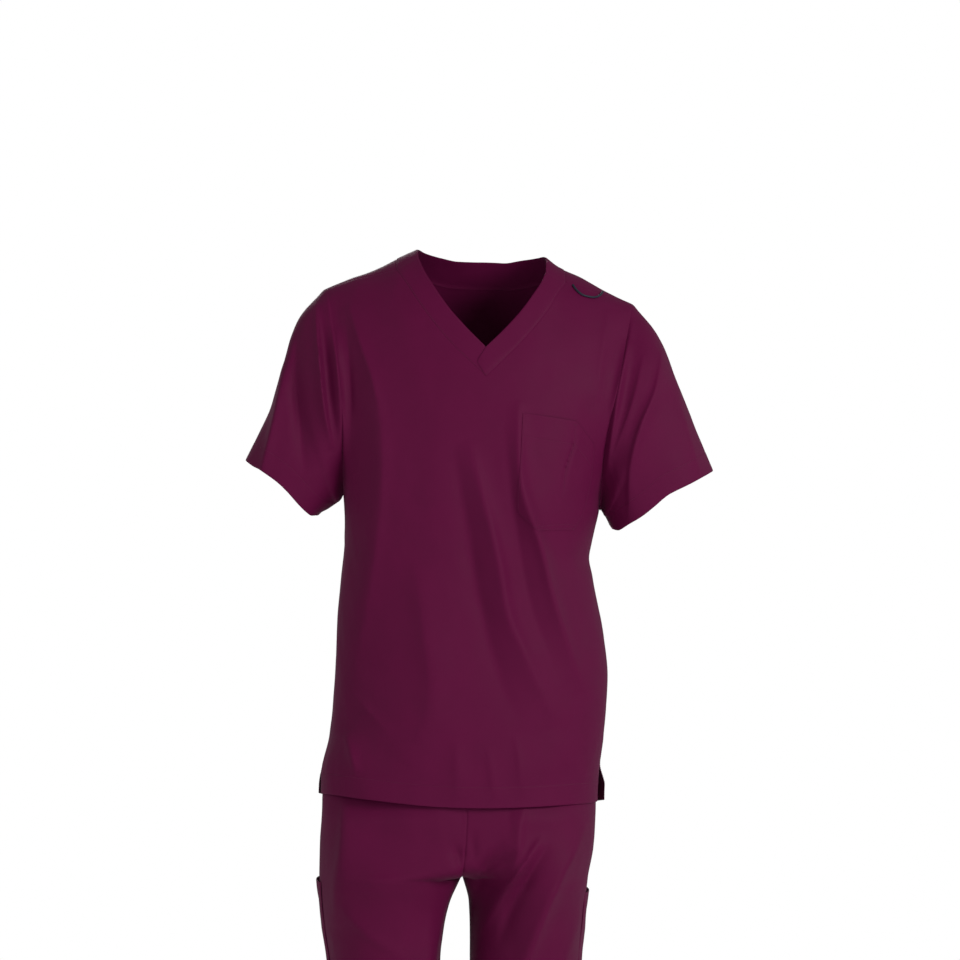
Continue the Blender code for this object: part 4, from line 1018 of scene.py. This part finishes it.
def makePatch(name, grid, normals, lift, look):
    # a cut with thin rounded edges, sewn down on three of them, with a hem line below its mouth
    cut = makeCut(name, grid, normals, ["free"] * 4)
    cut["share"], cut["thickness"] = np.ones(grid.shape[:2]), look["thickness"]
    for edge, away in cut["away"].items():
        cut["share"] = np.minimum(cut["share"], roundedEdge(away, patchShape["thin"]))
        distance, depth, width = (patchShape[key] for key in ("stitch", "stitchDepth", "stitchWidth"))
        if edge == "lastRow":
            distance, depth, width = look["hem"], look["hemDepth"], patchShape["hemWidth"]
        lift = lift - depth * np.exp(-((away - distance) / width) ** 2)
    cut["normals"] = normals
    cut["outer"] = grid + normals * lift[..., None]
    cut["skin"] = gridNormals(cut["outer"], False, cut["outward"])
    return cut


def patchLines(cut, look, *more):
    places = [(edge, patchShape["stitch"]) for edge in ("firstColumn", "lastColumn", "firstRow")]
    return [lineAt(cut, *place) for place in (*places, *more, ("lastRow", look["hem"]))]


# the chest pocket, with a slot for a pen sewn down its outer side
chestPocketLook = {
    "bottom": -0.349, "mouth": ((0.00, -0.206), (0.73, -0.216), (1.00, -0.245)), "size": (0.088, 0.143),
    "lastStep": 0.0050, "pitch": 0.0016, "hem": 0.028, "hemDepth": 0.00012, "secondLine": 0.0072,
    "hemSteps": (-0.0016, -0.0008, -0.0003, 0.0003, 0.0008, 0.0016),
    "lift": 0.0009, "puff": 0.0012, "domePower": 0.8, "domeRise": 1.25, "thickness": 0.0008,
    "gape": 0.0004, "gapeFrom": 0.75, "gapePower": 1,
    "slot": ((117, -220), (115, -244), (109, -262), (105, -277), (102.5, -298), (101.6, -310)),
    "slotGroove": (-1.9, 1.1, 1.1), "slotRidge": (0.9, 5, 5), "ridgeShift": 6,
}
chestPocketTable = smoothTable(
    "up inner outer",
    (0.00, 0.0690, 0.1150), (0.20, 0.0450, 0.1270), (0.50, 0.0480, 0.1350), (1.00, 0.0520, 0.1410),
)
bartackLook = {"at": 0.03, "length": 0.006, "rows": 3, "gap": 0.0007}


def makeChestPocket(look, skin):
    width, height = look["size"]
    up, across = patchLevels(height, look)[:, None] / height, bothEnds(width, look)[None, :] / width
    x = blend(*(readTable(chestPocketTable, edge, up) for edge in ("inner", "outer")), across)
    z = blend(look["bottom"], np.interp(across, *np.transpose(look["mouth"])), up)
    spots, normals = (values.reshape(*x.shape, 3) for values in layOn(skin, zip(x.ravel(), z.ravel())))
    beside = [(x + look["ridgeShift"], z) for x, z in look["slot"]]
    slot = {front: ((*look["slotGroove"], *look["slot"]), (*look["slotRidge"], *beside))}
    lift = patchLift(up, across, look) - foldShift(spots, normals, slot)
    return makePatch("chestPocketCloth", spots, normals, lift, look)


def bartack(spots, normals, look):
    # a short dense block of stitches across a line, at one place along it
    index = int(look["at"] * (len(spots) - 1))
    along = unit(spots[index + 1] - spots[index])
    across = unit(np.cross(normals[index], along)) * look["length"] / 2
    lines = []
    for row in range(look["rows"]):
        middle = spots[index] + along * (row - 1) * look["gap"]
        ends = np.array([middle - across, middle, middle + across])
        lines.append((ends, np.repeat(normals[index][None], 3, axis=0)))
    return lines


topSkin = makeSkin([cutNamed["topFront"], cutNamed["topBack"]])
chestPocketCut = makeChestPocket(chestPocketLook, topSkin)
addCloth(chestPocketCut, "chest_pocket")
slotLine = layOn(makeSkin([chestPocketCut]), smoothRoute(chestPocketLook["slot"][:-1]))
pocketLines = patchLines(chestPocketCut, chestPocketLook, ("firstRow", chestPocketLook["secondLine"]))
addStitches("chestPocketStitches", pocketLines + [slotLine] + bartack(*slotLine, bartackLook))
panels, sleeves, bands = topCuts[:2], topCuts[2:4], topCuts[4:]
hemStitch, bandStitch, ventStitch, ventShare = edgeShape["hemWidth"], bandLook["stitch"], 0.0036, 0.15
topLines = [lineAt(cut, edge, distance) for cuts, edge, distance in (
    (panels, "firstRow", hemStitch), (sleeves, "lastColumn", hemStitch),
    (bands, "lastRow", bandStitch), (bands, "firstRow", bandStitch)) for cut in cuts]
for edge in ("firstColumn", "lastColumn"):
    topLines.append(lineAt(cutNamed["topBack"], edge, ventStitch, ventShare))
addStitches("topStitches", topLines)


# the badge loop: a round elastic cord sewn into the left shoulder seam at both ends
badgeLoopLook = {
    "radius": 0.0013, "points": 35, "clearance": 0.0003,
    "route": ((0.1145, -0.0470), (0.1190, -0.0535), (0.1255, -0.0590), (0.1335, -0.0615), (0.1415, -0.0620),
              (0.1480, -0.0595), (0.1520, -0.0545)),
}


def makeBadgeLoop(look, skin):
    route = np.array(look["route"])
    knots = np.arange(len(route), dtype=float)
    places = [through(knots, route, at) for at in np.linspace(0, knots[-1], look["points"])]
    spots, normals = layOn(skin, places)
    path = spots + normals * (look["radius"] + look["clearance"])
    curve = bpy.data.curves.new("badgeLoop", "CURVE")
    curve.dimensions = "3D"
    curve.bevel_depth = look["radius"]
    curve.bevel_resolution = 3
    curve.use_fill_caps = True
    spline = curve.splines.new("POLY")
    spline.points.add(len(path) - 1)
    for point, spot in zip(spline.points, path):
        point.co = (*spot, 1)
    curve.materials.append(loopCord)
    loop = bpy.data.objects.new("badgeLoop", curve)
    bpy.context.collection.objects.link(loop)
    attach(loop, "root")
    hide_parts("badge_loop")


makeBadgeLoop(badgeLoopLook, topSkin)


# the trousers: four leg panels, the waistband and the thigh pockets
trouserLook = {"columns": {front: 80, back: 50}, "legRows": 160, "riseRows": 56,
               "edge": (0.007, 0.020, 0.036), "thickness": 0.0010, "seamDepth": 0.0010,
               "waves": ((1.0, 100), (0.45, 48), (0.16, 22)), "seed": 11}
trouserFolds = {front: (
    # the creases that run to the crotch
    (9, 20, 9, (59, -688), (50, -725), (49, -746), (40, -780)),
    (11.5, 7, 9, (79, -732), (54, -769), (31, -800), (10, -835), (0, -858)),
    (-10, 9, 16, (86, -742), (62, -781), (40, -824), (21, -875)),
    (-11.5, 10, 26, (29, -738), (8, -770), (-6, -820), (-11, -881)),
    (-7, 9, 9, (50, -752), (24, -765), (-2, -775)),
    (17, 22, 14, (140, -702), (115, -758), (91, -806), (72, -852), (50, -908), (28, -958)),
    (5.5, 13, 10, (140, -798), (120, -852), (95, -919)),
    (-3, 5, 6, (-10, -725), (-8, -748), (-5, -772)),
    (-6, 6, 6, (-31, -740), (-25, -765), (-18, -788)),
    # full thighs below the hem and at the level of the crotch
    (11, 32, 34, (-245, -702), (-175, -708), (-100, -712), (-22, -712)),
    (9, 34, 40, (38, -712), (100, -708), (181, -695)),
    (4, 48, 14, (-225, -800), (-110, -798), (-8, -792)),
    (6.5, 40, 22, (35, -795), (88, -798), (160, -796)),
    # flat front and outer edge of the right thigh
    (13, 42, 15, (-188, -789), (-100, -786), (-45, -782), (8, -778)),
    (46, 34, 12, (-21, -758), (-25, -785), (-38, -828), (-52, -878), (-62, -938), (-65, -1000)),
    (3, 7, 10, (-182, -810), (-146, -852), (-85, -888)),
    (16, 10, 28, (-170, -681), (-173, -735), (-180, -790), (-182, -850)),
    # knees and ankles
    (-4.2, 14, 18, (-172, -1064), (-134, -1102), (-86, -1116)),
    (-2.6, 9, 12, (-166, -1104), (-130, -1134), (-92, -1140)),
    (2.4, 14, 12, (-126, -960), (-120, -1040), (-116, -1120), (-118, -1210)),
    (-4.2, 18, 14, (112, -1046), (76, -1096), (24, -1118)),
    (-2.6, 12, 9, (118, -1090), (84, -1132), (36, -1146)),
    (2.4, 12, 14, (62, -950), (66, -1030), (60, -1120), (64, -1220)),
    (-4.6, 16, 14, (-164, -1414), (-126, -1446), (-72, -1448)),
    (-3.4, 10, 12, (-168, -1478), (-130, -1500), (-78, -1490)),
    (2.6, 10, 10, (-160, -1448), (-124, -1474), (-82, -1470)),
    (-4.6, 14, 16, (112, -1424), (70, -1452), (16, -1446)),
    (-3.0, 12, 10, (116, -1486), (76, -1504), (22, -1494)),
), back: (
    (-8, 16, 13, (-164, -796), (-120, -828), (-66, -842)),
    (-5, 9, 11, (-172, -838), (-128, -866), (-84, -872)),
    (-8, 13, 16, (116, -790), (74, -828), (22, -846)),
    (-5, 11, 9, (118, -836), (80, -866), (36, -872)),
    (4.5, 14, 16, (-118, -900), (-114, -990), (-118, -1080)),
    (4.5, 16, 14, (60, -892), (66, -980), (60, -1086)),
    (-9, 16, 13, (-168, -1086), (-122, -1112), (-70, -1104)),
    (-6, 10, 12, (-164, -1126), (-118, -1150), (-74, -1138)),
    (-9, 13, 16, (116, -1092), (66, -1120), (10, -1108)),
    (-6, 12, 10, (112, -1136), (70, -1156), (16, -1144)),
    (-8, 14, 12, (-160, -1438), (-118, -1466), (-70, -1456)),
    (-8, 12, 14, (110, -1446), (66, -1474), (16, -1458)),
    (-5.5, 9, 11, (-156, -1492), (-116, -1508), (-74, -1500)),
)}


def legAngles(look, side):
    angle = np.linspace(0, np.pi, look["columns"][side] + 1)
    return np.unique(np.concatenate([angle, look["edge"], np.pi - np.array(look["edge"])]))


def makeTrouserCuts(look):
    length = legCut["crotch"] - legCut["hem"]
    heights = legCut["hem"] + length * hemShares(length, look["legRows"])
    ups = np.linspace(0, 1, look["riseRows"] + 1)[1:]
    return [makeCut("trouser" + sideWord + halfWord, legGrid(half, side, heights, ups, legAngles(look, side)),
                    (0.3 * half, side, 0), ("hem", "sewn", "sewn", "sewn"))
            for half, halfWord in ((right, "Right"), (left, "Left"))
            for side, sideWord in ((front, "Front"), (back, "Back"))]


waistLook = {"height": 0.040, "rows": 10, "gathers": 74, "gatherDepth": 0.0009, "pointsEach": 8,
             "drift": ((0.8, 31, 0), (0.5, 57, 1)), "swell": (0.3, 90, 2),
             "held": ((0.5, 0.75, 0.06), (0, 0.9, 0.08)), "thickness": 0.0016, "seed": 3,
             "waves": ((0.4, 60),)}


def makeWaistCut(look, cuts):
    frontRight, backRight, frontLeft, backLeft = (cut["grid"][-1] for cut in cuts)
    ring = np.concatenate([frontRight[:-1], frontLeft[:0:-1], backLeft[:-1], backRight[::-1]])
    run = runAlong(ring)
    at = np.linspace(0, run[-1], look["gathers"] * look["pointsEach"] + 1)[:-1]
    ring = pointsAt(at, run, ring)
    shares = np.linspace(0, 1, look["rows"] + 1)
    grid = np.stack([ring + np.array([0, 0, look["height"] * share]) for share in shares], axis=1)
    cut = makeCut("waistbandCloth", grid, grid - grid.mean(axis=0), (None, None, "free", "free"), closed=True)
    # uneven gathers, held flat along the middle and the seam
    turn = at / run[-1] * 2 * np.pi * look["gathers"]
    turn += sum(size * np.sin(at * rate + start) for size, rate, start in look["drift"])
    size, rate, start = look["swell"]
    wave = np.sin(turn) * (1 - size + size * np.sin(at * rate + start))
    hold = 1 - sum(size * np.exp(-((shares - place) / reach) ** 2) for place, size, reach in look["held"])
    cut["lift"] = look["gatherDepth"] * wave[:, None] * hold
    return cut


trouserCuts = makeTrouserCuts(trouserLook)
shareNormals(trouserCuts)
pressCuts(trouserCuts, trouserFolds, trouserLook)
waistCut = makeWaistCut(waistLook, trouserCuts)
pressCuts([waistCut], {}, waistLook)
for cut in trouserCuts:
    cutNamed[cut["name"]] = cut
    addCloth(cut)
addCloth(waistCut, node="waistband")

thighPocketLook = {
    "top": {right: -0.787, left: -0.800}, "height": 0.190, "reach": (np.pi / 10, 3 * np.pi / 10),
    "outseam": 0.03, "lastStep": 0.0060, "pitch": 0.0045, "hem": 0.025, "hemDepth": 0.0004,
    "hemSteps": (-0.0016, -0.0007, 0, 0.0007, 0.0016),
    "lift": 0.0010, "puff": 0.0016, "domePower": 0.7, "domeRise": 1.6, "thickness": 0.0010,
    "gape": 0.0020, "gapeFrom": 0.8, "gapePower": 0.7, "seed": 21, "waves": ((0.9, 60), (0.4, 30)),
}


def makeThighPocket(look, half, name, panels):
    fore, rear = (cutNamed[panel] for panel in panels)
    ahead, behind = (np.flatnonzero((angle > look["outseam"]) & (angle < reach + 1e-6)) for angle, reach in
                     zip((legAngles(trouserLook, side) for side in (front, back)), look["reach"]))
    points, normals = (np.concatenate([fore[key][:, ahead[::-1]], rear[key][:, behind]], axis=1)
                       for key in ("outer", "skin"))
    heights = fore["grid"][:, 0, 2]
    levels = look["top"][half] - look["height"] + patchLevels(look["height"], look)
    cell = np.clip(np.searchsorted(heights, levels, side="right") - 1, 0, len(heights) - 2)
    share = ((levels - heights[cell]) / (heights[cell + 1] - heights[cell]))[:, None, None]
    grid, slopes = (blend(values[cell], values[cell + 1], share) for values in (points, normals))
    runs = runAlong(grid, 1)
    places = bothEnds(runs[:, -1].mean(), look) / runs[:, -1].mean()
    spots, leans = (np.array([pointsAt(places * run[-1], run, line) for run, line in zip(runs, lines)])
                    for lines in (grid, slopes))
    up = ((levels - levels[0]) / look["height"])[:, None]
    lift = patchLift(up, places, look) + softWaves(spots, look["seed"] + half, look["waves"])
    return makePatch(name, spots, unit(leans), lift, look)


trouserLines = []
for half, word in ((right, "Right"), (left, "Left")):
    panels = ["trouserFront" + word, "trouserBack" + word]
    pocket = makeThighPocket(thighPocketLook, half, "thighPocket" + word, panels)
    addCloth(pocket, "cargo_pocket_" + halfName[half])
    trouserLines += patchLines(pocket, thighPocketLook)
trouserLines += [lineAt(cut, "firstRow", hemStitch) for cut in trouserCuts]
addStitches("trouserStitches", trouserLines)
print("trousers sewn up")


# floor and light
studioLook = {
    "floorHeight": -1.606, "floorRadius": 2.4, "floorColour": (0.80, 0.80, 0.80), "floorGrain": 30,
    "floorRoughness": 0.8, "white": (1, 1, 1, 1), "air": 0.25, "aim": (0, 0, -0.55), "lightSize": 1.6,
    "lights": (("keyLight", (2.8, -2.8, 0.9), 98), ("frontLight", (0.0, -3.9, -2.0), 27),
               ("fillLight", (-2.1, -3.6, 0.2), 16), ("sideLight", (-3.7, -1.4, 0.9), 20),
               ("farLight", (3.8, 1.4, 0.5), 12), ("rearLight", (-0.6, 3.4, 1.2), 45)),
}


def makeStudio(look):
    bpy.ops.mesh.primitive_circle_add(vertices=96, radius=look["floorRadius"], fill_type="NGON",
                                      location=(0, 0, look["floorHeight"]))
    floor = bpy.context.object
    floor.name = "studioFloor"
    bpy.ops.object.transform_apply(location=True, rotation=False, scale=False)
    material, tree, shader = newMaterial("studioFloor")
    grain = addNode(tree, "TexNoise", "Fac", {"Scale": look["floorGrain"]})
    pale = look["floorColour"]
    setInputs(tree, shader, {"Base Color": mixColours(tree, grain, pale, [value * 0.97 for value in pale]),
                             "Roughness": look["floorRoughness"]})
    floor.data.materials.append(material)
    for name, place, power in look["lights"]:
        data = bpy.data.lights.new(name, "AREA")
        data.shape = "DISK"
        data.size = look["lightSize"]
        data.energy = power
        light = bpy.data.objects.new(name, data)
        light.location = place
        light.rotation_euler = (Vector(look["aim"]) - Vector(place)).to_track_quat("-Z", "Y").to_euler()
        bpy.context.collection.objects.link(light)
    # white where the camera looks past the scene, a fainter white on the cloth
    world = bpy.data.worlds.new("studioAir")
    world.use_nodes = True
    tree, seen = world.node_tree, world.node_tree.nodes["Background"]
    setInputs(tree, seen, {"Color": look["white"], "Strength": 1})
    felt = addNode(tree, "Background", "Background", {"Color": look["white"], "Strength": look["air"]})
    direct = addNode(tree, "LightPath", "Is Camera Ray", {})
    mixed = addNode(tree, "MixShader", "Shader", {"Fac": direct, 1: felt, 2: seen.outputs["Background"]})
    setInputs(tree, tree.nodes["World Output"], {"Surface": mixed})
    bpy.context.scene.world = world
    bpy.context.scene.view_settings.view_transform = "Standard"


makeStudio(studioLook)
print("scene finished")
